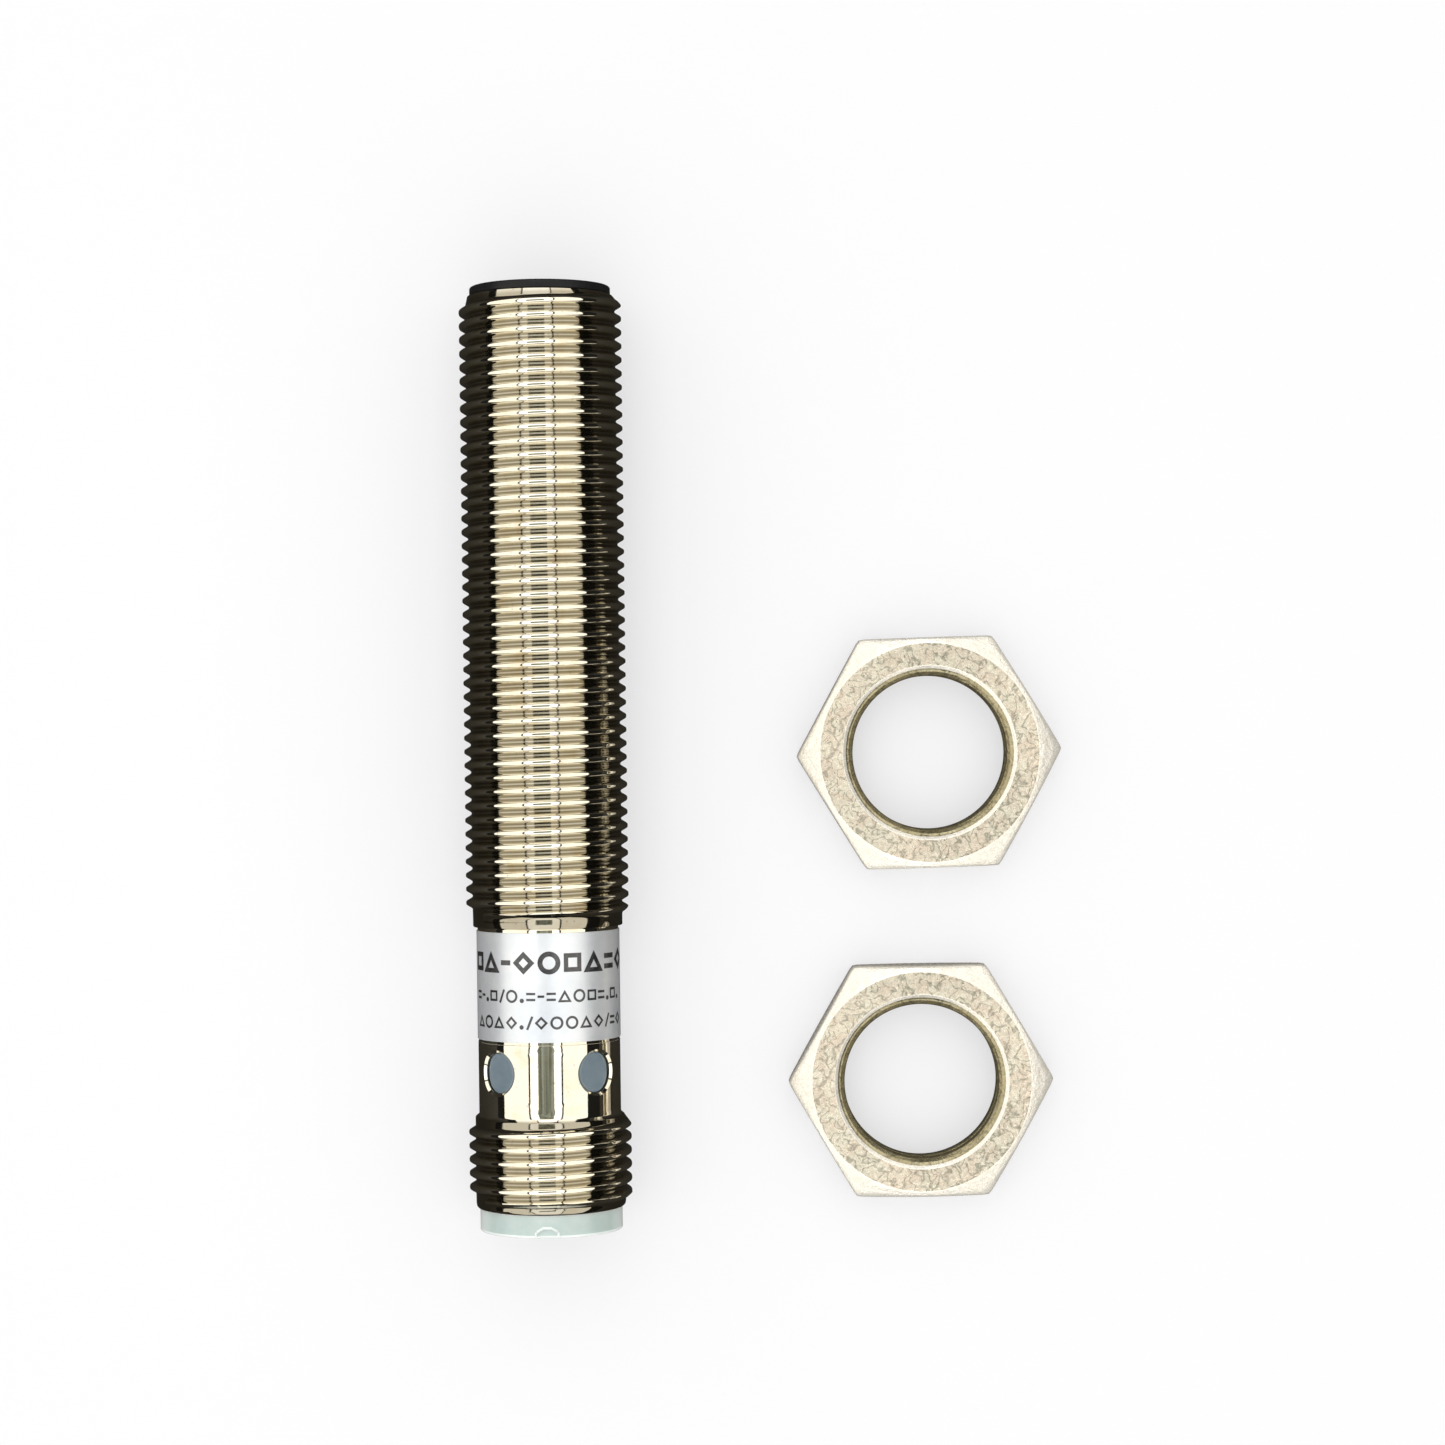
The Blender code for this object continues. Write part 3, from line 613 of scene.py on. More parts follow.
def arc(radius: float, station: float, bend: float, start_deg: float, end_deg: float,
        steps: int) -> list[Spot]:
    """Profile points of a rounded corner.

    Args:
        radius: The arc centre's distance from the axis.
        station: The arc centre's station.
        bend: The arc's own radius.
        start_deg: The first direction: 0 is outwards and 90 is towards the back.
        end_deg: The last direction.
        steps: How many pieces the arc has.

    Returns:
        The (radius, station) points.
    """
    angles = [math.radians(start_deg + (end_deg - start_deg) * step / steps)
              for step in range(steps + 1)]
    return [(radius + bend * math.cos(angle), station + bend * math.sin(angle))
            for angle in angles]


class Surface:
    """Collects the corners and faces of one mesh. Round work is about the -Y axis: a station
    is a distance along -Y, and angles run from +X towards +Z."""

    def __init__(self) -> None:
        """Starts with no corner and no face."""
        self.points: list[Point] = []
        self.faces: list[tuple[int, ...]] = []
        self.zones: list[int] = []
        self.zone = 0

    def place(self, point: Point) -> int:
        """Adds a corner and gives its number."""
        self.points.append(point)
        return len(self.points) - 1

    def point(self, radius: float, angle: float, station: float) -> int:
        """Adds a corner by its distance from the axis, angle and station, and gives its number."""
        return self.place((radius * math.cos(angle), -station, radius * math.sin(angle)))

    def face(self, *corners: int) -> None:
        """Adds one face with the current zone."""
        self.faces.append(corners)
        self.zones.append(self.zone)

    def ring(self, radius: float, station: float, sides: int) -> list[int]:
        """Adds one full ring of corners and gives their numbers."""
        return [self.point(radius, TURN * index / sides, station) for index in range(sides)]

    def rings(self, profile: Iterable[Spot], sides: int) -> list[list[int]]:
        """Adds one ring for each (radius, station) of a profile."""
        return [self.ring(radius, station, sides) for radius, station in profile]

    def bridge(self, first: Sequence[int], second: Sequence[int], closed: bool = True) -> None:
        """Joins two rows of corners with four-sided faces.

        Args:
            first: The first row.
            second: The second row, as long as the first.
            closed: True if the rows are full rings.
        """
        count = len(first)
        for index in range(count if closed else count - 1):
            after = (index + 1) % count
            self.face(first[index], first[after], second[after], second[index])

    def chain(self, rings: Sequence[Sequence[int]], closed: bool = True) -> None:
        """Joins each row to the next."""
        for first, second in zip(rings, rings[1:]):
            self.bridge(first, second, closed)

    def prism(self, loops: Sequence[Sequence[int]]) -> None:
        """Joins closed loops in order and fills the first and the last."""
        self.chain(loops)
        for loop in (loops[0], loops[-1]):
            self.face(*loop)

    def fan(self, tip: int, row: Sequence[int]) -> None:
        """Joins a row of corners to one corner with three-sided faces."""
        for first, second in zip(row, row[1:]):
            self.face(tip, first, second)

    def helix(self, front: Sequence[int], back: Sequence[int], start: float, turns: float,
              radius_at: Callable[[float, float], float]) -> None:
        """Adds a right-hand 1 mm thread between a front ring and a back ring.

        Args:
            front: The ring in front of the thread.
            back: The ring behind it.
            start: The thread's first station.
            turns: How many turns the thread makes in all.
            radius_at: Gives the radius for a phase from 0 to 1 and a station.
        """
        pitch, steps, sides = 1.0 * MM, 14, len(front)
        count = round(turns * sides)
        rows = []
        for index in range(count + 1):
            angle = TURN * index / sides
            row = []
            for step in range(steps):
                station = start + pitch * (index / sides + step / steps)
                row.append(self.point(radius_at(step / steps, station), angle, station))
            rows.append(row)
        for index in range(count):
            here, after = rows[index], rows[index + 1]
            for step in range(steps - 1):
                self.face(here[step], after[step], after[step + 1], here[step + 1])
            if index + 1 + sides <= count:
                self.face(here[-1], after[-1], rows[index + 1 + sides][0], rows[index + sides][0])
        for index in range(sides - 1):
            self.face(front[index], front[index + 1], rows[index + 1][0], rows[index][0])
        self.fan(front[-1], [front[0], *rows[0], rows[sides][0], rows[sides - 1][0]])
        begin = count - sides
        for index in range(begin + 1, count):
            self.face(rows[index][-1], rows[index + 1][-1], back[(index + 1) % sides],
                      back[index % sides])
        self.fan(back[(begin + 1) % sides], [back[begin % sides], *reversed(rows[count]),
                                             rows[begin][-1], rows[begin + 1][-1]])

    def build(self, name: str, materials: Sequence[Material], sharp_deg: float = 38,
              weld: float = 0.0) -> Object:
        """Turns the corners and faces into an object.

        Args:
            name: The piece's name.
            materials: Its materials, in the order of the zones.
            sharp_deg: Edges sharper than this stay sharp.
            weld: Corners closer than this are joined.

        Returns:
            The new object.
        """
        mesh = bpy.data.meshes.new(name)
        mesh.from_pydata(self.points, [], self.faces)
        mesh.polygons.foreach_set("material_index", self.zones)
        shape = bmesh.new()
        shape.from_mesh(mesh)
        if weld:
            bmesh.ops.remove_doubles(shape, verts=shape.verts, dist=weld)
        bmesh.ops.recalc_face_normals(shape, faces=shape.faces)
        shape.to_mesh(mesh)
        shape.free()
        mesh.shade_smooth()
        mesh.set_sharp_from_angle(angle=math.radians(sharp_deg))
        return show(mesh, materials)


def show(data: bpy.types.ID, materials: Iterable[Material] = ()) -> Object:
    """Puts a mesh, light or camera into the scene as an object of the same name.

    Args:
        data: The object's data.
        materials: A mesh's materials.

    Returns:
        The new object.
    """
    for each in materials:
        data.materials.append(each)
    made = bpy.data.objects.new(data.name, data)
    bpy.context.scene.collection.objects.link(made)
    return made


def settle(piece: Object, body: Body, slot: str, *nodes: str) -> Object:
    """Puts a piece on its body and hides the frame nodes it stands for.

    Args:
        piece: The new piece.
        body: The body it rides on.
        slot: Not used.
        nodes: The frame nodes that it replaces.

    Returns:
        The same piece.
    """
    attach(piece, body.value)
    if nodes:
        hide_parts(*nodes)
    LOG.info("%s: %d corners", piece.name, len(piece.data.vertices))
    return piece


# --------------------------------------------------------------------------- sub-assemblies


@dataclass
class Barrel:
    """The two turned tubes: the long thread, and the sleeve with the windows and plug thread."""

    front: float
    joint: float
    end: float
    crest_radius: float
    seat_front: float
    seat_back: float
    window_station: float
    sides: int = 96
    thread_depth: float = 0.48 * MM
    nose_radius: float = 5.28 * MM
    seat_radius: float = 5.13 * MM
    band_radius: float = 5.17 * MM
    bore_radius: float = 4.8 * MM
    front_bore_radius: float = 4.7 * MM
    spigot_radius: float = 4.9 * MM
    spigot_length: float = 1.6 * MM
    joint_gap: float = 0.05 * MM
    window_radius: float = 1.5 * MM
    window_chamfer: float = 0.18 * MM
    shoulder: float = 60.15 * MM
    main_thread_turns: float = 44.4
    plug_thread_start: float = 60.55 * MM
    plug_thread_turns: float = 5.4
    weld: float = 0.001 * MM

    @classmethod
    def from_frame(cls) -> "Barrel":
        """Reads the tubes' lengths, the label's seat and the windows' station.

        Returns:
            The tubes.
        """
        low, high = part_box("barrel")
        sleeve_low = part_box("connector_sleeve")[0]
        label_low, label_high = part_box("label")
        guide_low, guide_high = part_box("light_guide")
        seat_gap, window_offset = 0.2 * MM, 0.125 * MM
        return cls(
            front=-high[1], joint=-low[1], end=-sleeve_low[1],
            crest_radius=(high[0] - low[0]) / 2,
            seat_front=-label_high[1] - seat_gap, seat_back=-label_low[1] + seat_gap,
            window_station=-(guide_low[1] + guide_high[1]) / 2 + window_offset,
        )

    @property
    def root_radius(self) -> float:
        """The radius in the thread's roots."""
        return self.crest_radius - self.thread_depth

    def main_radius(self, phase: float, station: float) -> float:
        """The long thread's radius, chamfered in front and fading out before the label.

        Args:
            phase: Where along the pitch.
            station: The point's station.

        Returns:
            The radius there.
        """
        fade = 1 - ease(share(station, self.seat_front - 1.5 * MM, self.seat_front - 0.75 * MM))
        radius = self.root_radius + self.thread_depth * thread_height(phase) * fade
        return min(radius, self.nose_radius + (station - self.front) * 0.95)

    def plug_radius(self, phase: float, station: float) -> float:
        """The plug thread's radius, chamfered at its end.

        Args:
            phase: Where along the pitch.
            station: The point's station.

        Returns:
            The radius there.
        """
        fade = ease(share(station, self.shoulder + 0.3 * MM, self.shoulder + 1.0 * MM))
        radius = self.root_radius + self.thread_depth * thread_height(phase) * fade
        cone = self.root_radius + 0.02 * MM + max(0.0, self.end - 0.45 * MM - station) * 1.1
        return min(radius, cone)

    def window_patch(self, skin: Surface, radius: float, hole_radius: float, middle: float,
                     front: float, back: float) -> list[int]:
        """A quarter of a band with a round hole in its middle.

        Args:
            skin: The surface that takes it.
            radius: The band's radius.
            hole_radius: The hole's radius.
            middle: The hole's angle.
            front: The band's front station.
            back: The band's back station.

        Returns:
            The hole's corners, in order.
        """
        across, along, layers, crowding = self.sides // 4, 16, 7, 1.4
        half, low, high = TURN / 8, front - self.window_station, back - self.window_station
        corners = ((-half, low), (half, low), (half, high), (-half, high), (-half, low))
        edge = [mix(first, second, step / count)
                for first, second, count in zip(corners, corners[1:], (across, along) * 2)
                for step in range(count)]
        hole = []
        for turn, station in edge:
            direction = math.atan2(station, turn * radius)
            sideways = math.asin(hole_radius * math.cos(direction) / radius)
            hole.append((sideways, hole_radius * math.sin(direction)))
        rows = []
        for layer in range(layers + 1):
            out = (layer / layers) ** crowding
            offsets = [mix(inner, outer, out) for inner, outer in zip(hole, edge)]
            rows.append([skin.point(radius, middle + turn, self.window_station + station)
                         for turn, station in offsets])
        skin.chain(rows)
        return rows[0]

    def window_loop(self, skin: Surface, radius: float, middle: float,
                    rim: Sequence[int]) -> list[int]:
        """One loop of the window's wall, below each corner of its rim.

        Args:
            skin: The surface that takes it.
            radius: How far out the loop lies.
            middle: The window's angle.
            rim: The rim's corners.

        Returns:
            The loop's corners.
        """
        loop = []
        for corner in rim:
            x, y, z = skin.points[corner]
            sideways = math.hypot(x, z) * math.sin(wrapped(math.atan2(z, x) - middle))
            along = -y - self.window_station
            scale = self.window_radius / math.hypot(sideways, along)
            loop.append(skin.point(radius, middle + math.asin(sideways * scale / radius),
                                   self.window_station + along * scale))
        return loop

    def window_band(self, skin: Surface, front: float, back: float) -> None:
        """The band with its four windows, from the outside through to the bore.

        Args:
            skin: The surface that takes it.
            front: The band's front station.
            back: The band's back station.
        """
        mouth = self.window_radius + self.window_chamfer
        for middle in WINDOW_ANGLES:
            rim = self.window_patch(skin, self.band_radius, mouth, middle, front, back)
            skin.chain([rim, *(self.window_loop(skin, radius, middle, rim) for radius in
                               (self.band_radius - self.window_chamfer, self.bore_radius))])
            self.window_patch(skin, self.bore_radius, self.window_radius, middle, front, back)

    def build_front(self, finish: Material) -> None:
        """Makes the long threaded tube, up to the joint under the label.

        Args:
            finish: Its material.
        """
        skin = Surface()
        root, bore = self.root_radius, self.front_bore_radius
        socket = self.spigot_radius + self.joint_gap
        depth = self.joint - self.spigot_length - self.joint_gap
        nose, lead = skin.rings(((5.22 * MM, self.front), (5.30 * MM, self.front + 0.04 * MM)),
                                self.sides)
        back = skin.ring(root, self.seat_front - 0.6 * MM, self.sides)
        skin.bridge(nose, lead)
        skin.helix(lead, back, self.front + 0.2 * MM, self.main_thread_turns, self.main_radius)
        skin.chain([back, *skin.rings((
            (root, self.seat_front - 0.14 * MM), (root - 0.03 * MM, self.seat_front - 0.08 * MM),
            (self.seat_radius, self.seat_front), (self.seat_radius, self.joint),
            (socket, self.joint), (socket, depth), (bore, depth), (bore, self.front),
        ), self.sides), nose])
        piece = skin.build("barrel_tube", [finish], weld=self.weld)
        settle(piece, Body.SENSOR, "nickel_plate", "barrel")

    def build_sleeve(self, finish: Material) -> None:
        """Makes the sleeve behind the joint, with the windows and the plug thread.

        Args:
            finish: Its material.
        """
        skin = Surface()
        root, seat, band = self.root_radius, self.seat_radius, self.band_radius
        spigot_front, step = self.joint - self.spigot_length, self.joint + self.joint_gap
        band_front = self.seat_back + 0.03 * MM
        spigot = skin.rings((
            (self.front_bore_radius, spigot_front), (self.spigot_radius, spigot_front),
            (self.spigot_radius, step), (seat, step), (seat, self.seat_back),
            (band - 0.02 * MM, self.seat_back + 0.01 * MM), (band, band_front),
        ), self.sides)
        skin.chain(spigot)
        self.window_band(skin, band_front, self.shoulder)
        flare = skin.rings((
            (band, self.shoulder), (band + 0.03 * MM, self.shoulder + 0.08 * MM),
            (root - 0.03 * MM, self.shoulder + 0.26 * MM), (root, self.shoulder + 0.32 * MM),
        ), self.sides)
        skin.chain(flare)
        end = skin.ring(root + 0.01 * MM, self.end - 0.3 * MM, self.sides)
        skin.helix(flare[-1], end, self.plug_thread_start, self.plug_thread_turns,
                   self.plug_radius)
        skin.chain([end, *skin.rings((
            (root - 0.02 * MM, self.end - 0.1 * MM), (root - 0.1 * MM, self.end),
            (self.bore_radius, self.end), (self.bore_radius, self.shoulder),
        ), self.sides)])
        skin.chain([*skin.rings((
            (self.bore_radius, band_front), (self.front_bore_radius, band_front - 0.5 * MM),
        ), self.sides), spigot[0]])
        piece = skin.build("connector_sleeve_tube", [finish], weld=self.weld)
        settle(piece, Body.SENSOR, "nickel_plate", "connector_sleeve")


@dataclass
class SensingCap:
    """The black plastic face in front of the tube."""

    radius: float
    back: float
    flange_back: float
    sides: int = 128
    skirt_radius: float = 4.55 * MM
    edge: float = 0.16 * MM
    face_step: float = 0.02 * MM

    @classmethod
    def from_frame(cls) -> "SensingCap":
        """Reads the cap's size and where the tube starts.

        Returns:
            The cap.
        """
        low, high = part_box("sensing_cap")
        barrel_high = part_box("barrel")[1]
        return cls(radius=(high[0] - low[0]) / 2, back=-low[1],
                   flange_back=-barrel_high[1] - 0.05 * MM)

    def build(self, finish: Material) -> None:
        """Makes the cap with a rounded rim and a shallow step in its face.

        Args:
            finish: Its material.
        """
        skin = Surface()
        step, bevel = self.radius - 0.75 * MM, 0.04 * MM
        skin.prism(skin.rings((
            (step - 0.05 * MM, self.face_step), (step, 0.0),
            *arc(self.radius - self.edge, self.edge, self.edge, -90, 0, 5),
            (self.radius, self.flange_back - bevel), (self.radius - bevel, self.flange_back),
            (self.skirt_radius, self.flange_back), (self.skirt_radius, self.back),
        ), self.sides))
        settle(skin.build("face_cap", [finish]), Body.SENSOR, "black_plastic", "sensing_cap")


@dataclass
class Label:
    """The silver film round the tube, and its generic print."""

    front: float
    back: float
    radius: float
    sides: int = 120
    thickness: float = 0.08 * MM
    seam: float = 0.05
    edge: float = 0.015 * MM
    print_lift: float = 0.012 * MM
    print_step: float = 0.25 * MM

    @classmethod
    def from_frame(cls) -> "Label":
        """Reads the label's place and radius."""
        low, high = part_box("label")
        return cls(front=-high[1], back=-low[1], radius=(high[0] - low[0]) / 2)

    def build_film(self, finish: Material) -> None:
        """Makes the film, whose ends nearly meet underneath.

        Args:
            finish: Its material.
        """
        skin = Surface()
        inner, outer = self.radius - self.thickness, self.radius
        outline = ((inner, self.front), (outer - self.edge, self.front),
                   (outer, self.front + self.edge), (outer, self.back - self.edge),
                   (outer - self.edge, self.back), (inner, self.back))
        loops = []
        for index in range(self.sides + 1):
            angle = -TURN / 4 + self.seam / 2 + (TURN - self.seam) * index / self.sides
            loops.append([skin.point(radius, angle, station) for radius, station in outline])
        skin.prism(loops)
        settle(skin.build("label_film", [finish]), Body.SENSOR, "label_foil", "label")

    def inked(self, skin: Surface, around: float, station: float) -> int:
        """Adds a corner of the print: metres round from the top line, and station."""
        return skin.point(self.radius + self.print_lift, TURN / 4 - around / self.radius, station)

    def line(self, skin: Surface, start: Spot, end: Spot, width: float) -> None:
        """Adds one straight printed line, wrapped round the film.

        Args:
            skin: The surface that takes it.
            start: Its start: metres round from the top line, and station.
            end: Its end.
            width: Its width.
        """
        length = math.dist(start, end)
        across = [part / length * width / 2 for part in (start[1] - end[1], end[0] - start[0])]
        pieces = max(1, math.ceil(length / self.print_step))
        rows = []
        for index in range(pieces + 1):
            around, station = mix(start, end, index / pieces)
            rows.append([self.inked(skin, around + side * across[0], station + side * across[1])
                         for side in (-1, 1)])
        skin.chain(rows, closed=False)

    def outline(self, skin: Surface, middle: Spot, reach: float, corners: int, width: float,
                turn: float = 0.0) -> None:
        """Adds a printed closed outline with equal sides.

        Args:
            skin: The surface that takes it.
            middle: Its middle: metres round from the top line, and station.
            reach: The distance from the middle to a corner.
            corners: How many corners, 4 for a square and many for a ring.
            width: The line's width. At the full reach the outline is filled.
            turn: The first corner's direction in radians.
        """
        pieces = max(1, 24 // corners)
        tips = [(math.cos(angle), math.sin(angle)) for angle in
                (turn + TURN * corner / corners for corner in range(corners + 2))]
        rows = []
        for step in range(corners * pieces + 1):
            corner, part = divmod(step, pieces)
            along, across = mix(tips[corner], tips[corner + 1], part / pieces)
            rows.append([self.inked(skin, middle[0] + out * along, middle[1] + out * across)
                         for out in (reach - width, reach)])
        skin.chain(rows, closed=False)

    def symbol(self, skin: Surface, sign: Sign, left: float, front: float, size: float,
               bold: float) -> float:
        """Adds one sign.

        Args:
            skin: The surface that takes it.
            sign: Which sign.
            left: Where it starts round the film.
            front: The row's front station.
            size: The row's height.
            bold: The line's width.

        Returns:
            The sign's width.
        """
        half = size / 2
        middle = (left + half, front + half)
        if sign is Sign.RING:
            self.outline(skin, middle, half, 24, bold)
        elif sign is Sign.DIAMOND:
            self.outline(skin, middle, half, 4, bold * 1.3)
        elif sign is Sign.SQUARE:
            width = 0.84 * size
            self.outline(skin, (left + width / 2, middle[1]), half * 1.15, 4, bold * 1.3, TURN / 8)
            return width
        elif sign is Sign.TRIANGLE:
            self.outline(skin, (middle[0], front + 0.64 * size), half * 1.25, 3, bold * 1.8,
                         -TURN / 4)
        elif sign is Sign.DASH:
            self.line(skin, (left, middle[1]), middle, bold)
            return half
        elif sign is Sign.DOT:
            self.outline(skin, (left + bold, front + size - bold), bold, 8, bold * 0.98)
            return 2 * bold
        elif sign is Sign.SLASH:
            self.line(skin, (left + bold / 2, front + size), (left + half, front), bold)
            return half
        else:
            width = 0.7 * size
            for station in (front + 0.3 * size, front + 0.75 * size):
                self.line(skin, (left, station), (left + width, station), bold)
            return width
        return size

    def build_print(self, finish: Material) -> None:
        """Makes the print: one heavy row and two fine rows of plain signs.

        Args:
            finish: Its material.
        """
        skin = Surface()
        pick = random.Random(12)
        signs = (Sign.SQUARE, Sign.TRIANGLE, Sign.DASH, Sign.DIAMOND, Sign.RING, Sign.SQUARE,
                 Sign.TRIANGLE, Sign.PAIR, Sign.DIAMOND)
        at, heavy_row = -6.9 * MM, self.front + 1.3 * MM
        for sign in signs:
            at += self.symbol(skin, sign, at, heavy_row, 1.65 * MM, 0.36 * MM) + 0.22 * MM
        for start, offset in ((-6.6 * MM, 4.05 * MM), (-6.4 * MM, 5.95 * MM)):
            at = start
            while at < 6.6 * MM:
                at += self.symbol(skin, pick.choice(list(Sign)), at, self.front + offset,
                                  0.95 * MM, 0.17 * MM) + 0.17 * MM
        settle(skin.build("label_print", [finish]), Body.SENSOR, "label_foil")


@dataclass
class LightGuide:
    """The frosted ring whose four dished bosses fill the windows."""

    front: float
    back: float
    band_radius: float
    window_station: float
    sides: int = 96
    boss_sides: int = 56
    boss_radius: float = 1.44 * MM
    dish: float = 0.2 * MM
    soft_edge: float = 0.06 * MM
    sunk: float = 0.27 * MM
    outer_radius: float = 4.6 * MM
    inner_radius: float = 3.9 * MM

    @classmethod
    def from_frame(cls, barrel: Barrel) -> "LightGuide":
        """Reads the ring's ends, and takes the windows from the tube."""
        low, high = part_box("light_guide")
        return cls(-high[1], -low[1], barrel.band_radius, barrel.window_station)

    def loop(self, skin: Surface, middle: float, reach: float, radius: float) -> list[int]:
        """Adds a loop of corners round a window's middle.

        Args:
            skin: The surface that takes it.
            middle: The window's angle.
            reach: The loop's own radius.
            radius: Its distance from the tube's axis.

        Returns:
            The loop's corners.
        """
        turns = [TURN * index / self.boss_sides for index in range(self.boss_sides)]
        return [skin.point(radius, middle + math.asin(reach * math.cos(turn) / self.band_radius),
                           self.window_station + reach * math.sin(turn)) for turn in turns]

    def boss(self, skin: Surface, middle: float) -> None:
        """Adds one boss with a dished, soft-edged end.

        Args:
            skin: The surface that takes it.
            middle: The window's angle.
        """
        layers, rows = 12, []
        for layer in range(layers + 1):
            out = layer / layers
            drop = self.dish * (1 - out ** 2) + self.soft_edge * ease(share(out, 0.9, 1.0))
            rows.append(self.loop(skin, middle, self.boss_radius * out,
                                  self.band_radius - self.sunk - drop))
        foot = self.loop(skin, middle, self.boss_radius, self.outer_radius - 0.2 * MM)
        skin.chain([*rows[1:], foot])
        skin.fan(rows[0][0], [*rows[1], rows[1][0]])
        skin.face(*foot)

    def build(self, finish: Material) -> None:
        """Makes the ring with its bosses.

        Args:
            finish: Its material.
        """
        skin = Surface()
        rings = skin.rings(((self.inner_radius, self.front), (self.outer_radius, self.front),
                            (self.outer_radius, self.back), (self.inner_radius, self.back)),
                           self.sides)
        skin.chain([*rings, rings[0]])
        for middle in WINDOW_ANGLES:
            self.boss(skin, middle)
        piece = skin.build("window_lenses", [finish])
        settle(piece, Body.SENSOR, "frosted_plastic", "light_guide")


@dataclass
class PlugInsert:
    """The pale plastic insert: end collar with its key mark, socket and key rib."""

    front: float
    end: float
    collar_radius: float
    collar_front: float
    sides: int = 240
    collar_rows: int = 18
    body_radius: float = 4.6 * MM
    mouth_radius: float = 4.2 * MM
    floor: float = 60.7 * MM
    edge: float = 0.12 * MM
    mark_radius: float = 0.95 * MM
    mark_depth: float = 0.12 * MM
    mark_rim: float = 0.10 * MM

    @classmethod
    def from_frame(cls) -> "PlugInsert":
        """Reads the insert's ends, its collar's radius and where the tube ends.

        Returns:
            The insert.
        """
        low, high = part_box("connector_insert")
        barrel_end = -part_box("connector_sleeve")[0][1]
        return cls(front=-high[1], end=-low[1], collar_radius=(high[0] - low[0]) / 2,
                   collar_front=barrel_end + 0.06 * MM)

    def collar_skin(self, angle: float, station: float) -> float:
        """The collar's radius, with the half-round key mark.

        Args:
            angle: The point's angle.
            station: The point's station.

        Returns:
            The radius there.
        """
        turn = wrapped(angle - TURN / 4)
        reach = math.hypot(turn * self.collar_radius, station - self.end - 0.25 * MM)
        inside = 1 - ease(share(reach, self.mark_radius - 0.12 * MM, self.mark_radius))
        rim = max(0.0, 1 - abs(reach - self.mark_radius - 0.05 * MM) / (0.12 * MM))
        return (self.collar_radius - self.mark_rim + self.mark_rim * ease(rim)
                - self.mark_depth * inside)

    def collar(self, skin: Surface, foot: Sequence[int]) -> list[int]:
        """Adds the collar's skin, whose edges and key mark have the second material, a lighter copy that
        paints a highlight on them.

        Args:
            skin: The surface that takes it.
            foot: The ring that it starts from.

        Returns:
            The collar's last ring.
        """
        first_row, last_row = self.collar_front + 0.05 * MM, self.end - self.edge
        angles = [TURN * step / self.sides for step in range(self.sides)]
        rows = [foot]
        for index in range(self.collar_rows + 1):
            station = first_row + (last_row - first_row) * index / self.collar_rows
            rows.append([skin.point(self.collar_skin(angle, station), angle, station)
                         for angle in angles])
        for index, (first, second) in enumerate(zip(rows, rows[1:])):
            for step in range(self.sides):
                after = (step + 1) % self.sides
                lift = math.hypot(skin.points[second[step]][0], skin.points[second[step]][2])
                raised = lift > self.collar_radius - 0.55 * self.mark_rim
                # The collar's end rows and the key mark's raised rim take the lighter copy: a painted
                # highlight.
                skin.zone = int(raised or index in (0, self.collar_rows))
                skin.face(first[step], first[after], second[after], second[step])
        return rows[-1]

    def build(self, finish: Material, pale: Material) -> None:
        """Makes the insert.

        Args:
            finish: Its material.
            pale: The lighter material of the collar's edges and key mark, a painted highlight.
        """
        skin = Surface()
        before = skin.rings(((self.body_radius, self.front), (self.body_radius, self.collar_front),
                             (self.collar_radius - 0.06 * MM, self.collar_front)), self.sides)
        skin.chain(before)
        skin.face(*before[0])
        rim = self.collar(skin, before[-1])
        bend = 0.1 * MM
        tail = skin.rings((
            *arc(self.collar_radius - self.mark_rim - self.edge, self.end - self.edge, self.edge,
                 25, 90, 4),
            *arc(self.mouth_radius + bend, self.end - bend, bend, 90, 180, 4),
            (self.mouth_radius, self.floor + bend), (self.mouth_radius - bend, self.floor),
        ), self.sides)
        # The rounded end edge and the mouth's lip take the lighter copy too: a painted highlight.
        skin.zone = 1
        skin.chain([rim, *tail[:5]])
        skin.zone = 0
        skin.chain(tail[4:])
        skin.face(*tail[-1])
        self.key_rib(skin)
        piece = skin.build("plug_insert", [finish, pale])
        settle(piece, Body.SENSOR, "frosted_plastic", "connector_insert")

    def key_rib(self, skin: Surface) -> None:
        """Adds the bevelled rib inside the socket that keys the cable's plug.

        Args:
            skin: The surface that takes it.
        """
        half, inner, outer = 0.42 * MM, self.mouth_radius - 0.6 * MM, self.mouth_radius + 0.1 * MM
        bevel = 0.15 * MM
        outline = ((-half, outer), (-half, inner + bevel), (-half + bevel, inner),
                   (half - bevel, inner), (half, inner + bevel), (half, outer))
        skin.prism([[skin.place((x, -station, z)) for x, z in outline]
                    for station in (self.floor - 0.1 * MM, self.end - 0.6 * MM)])


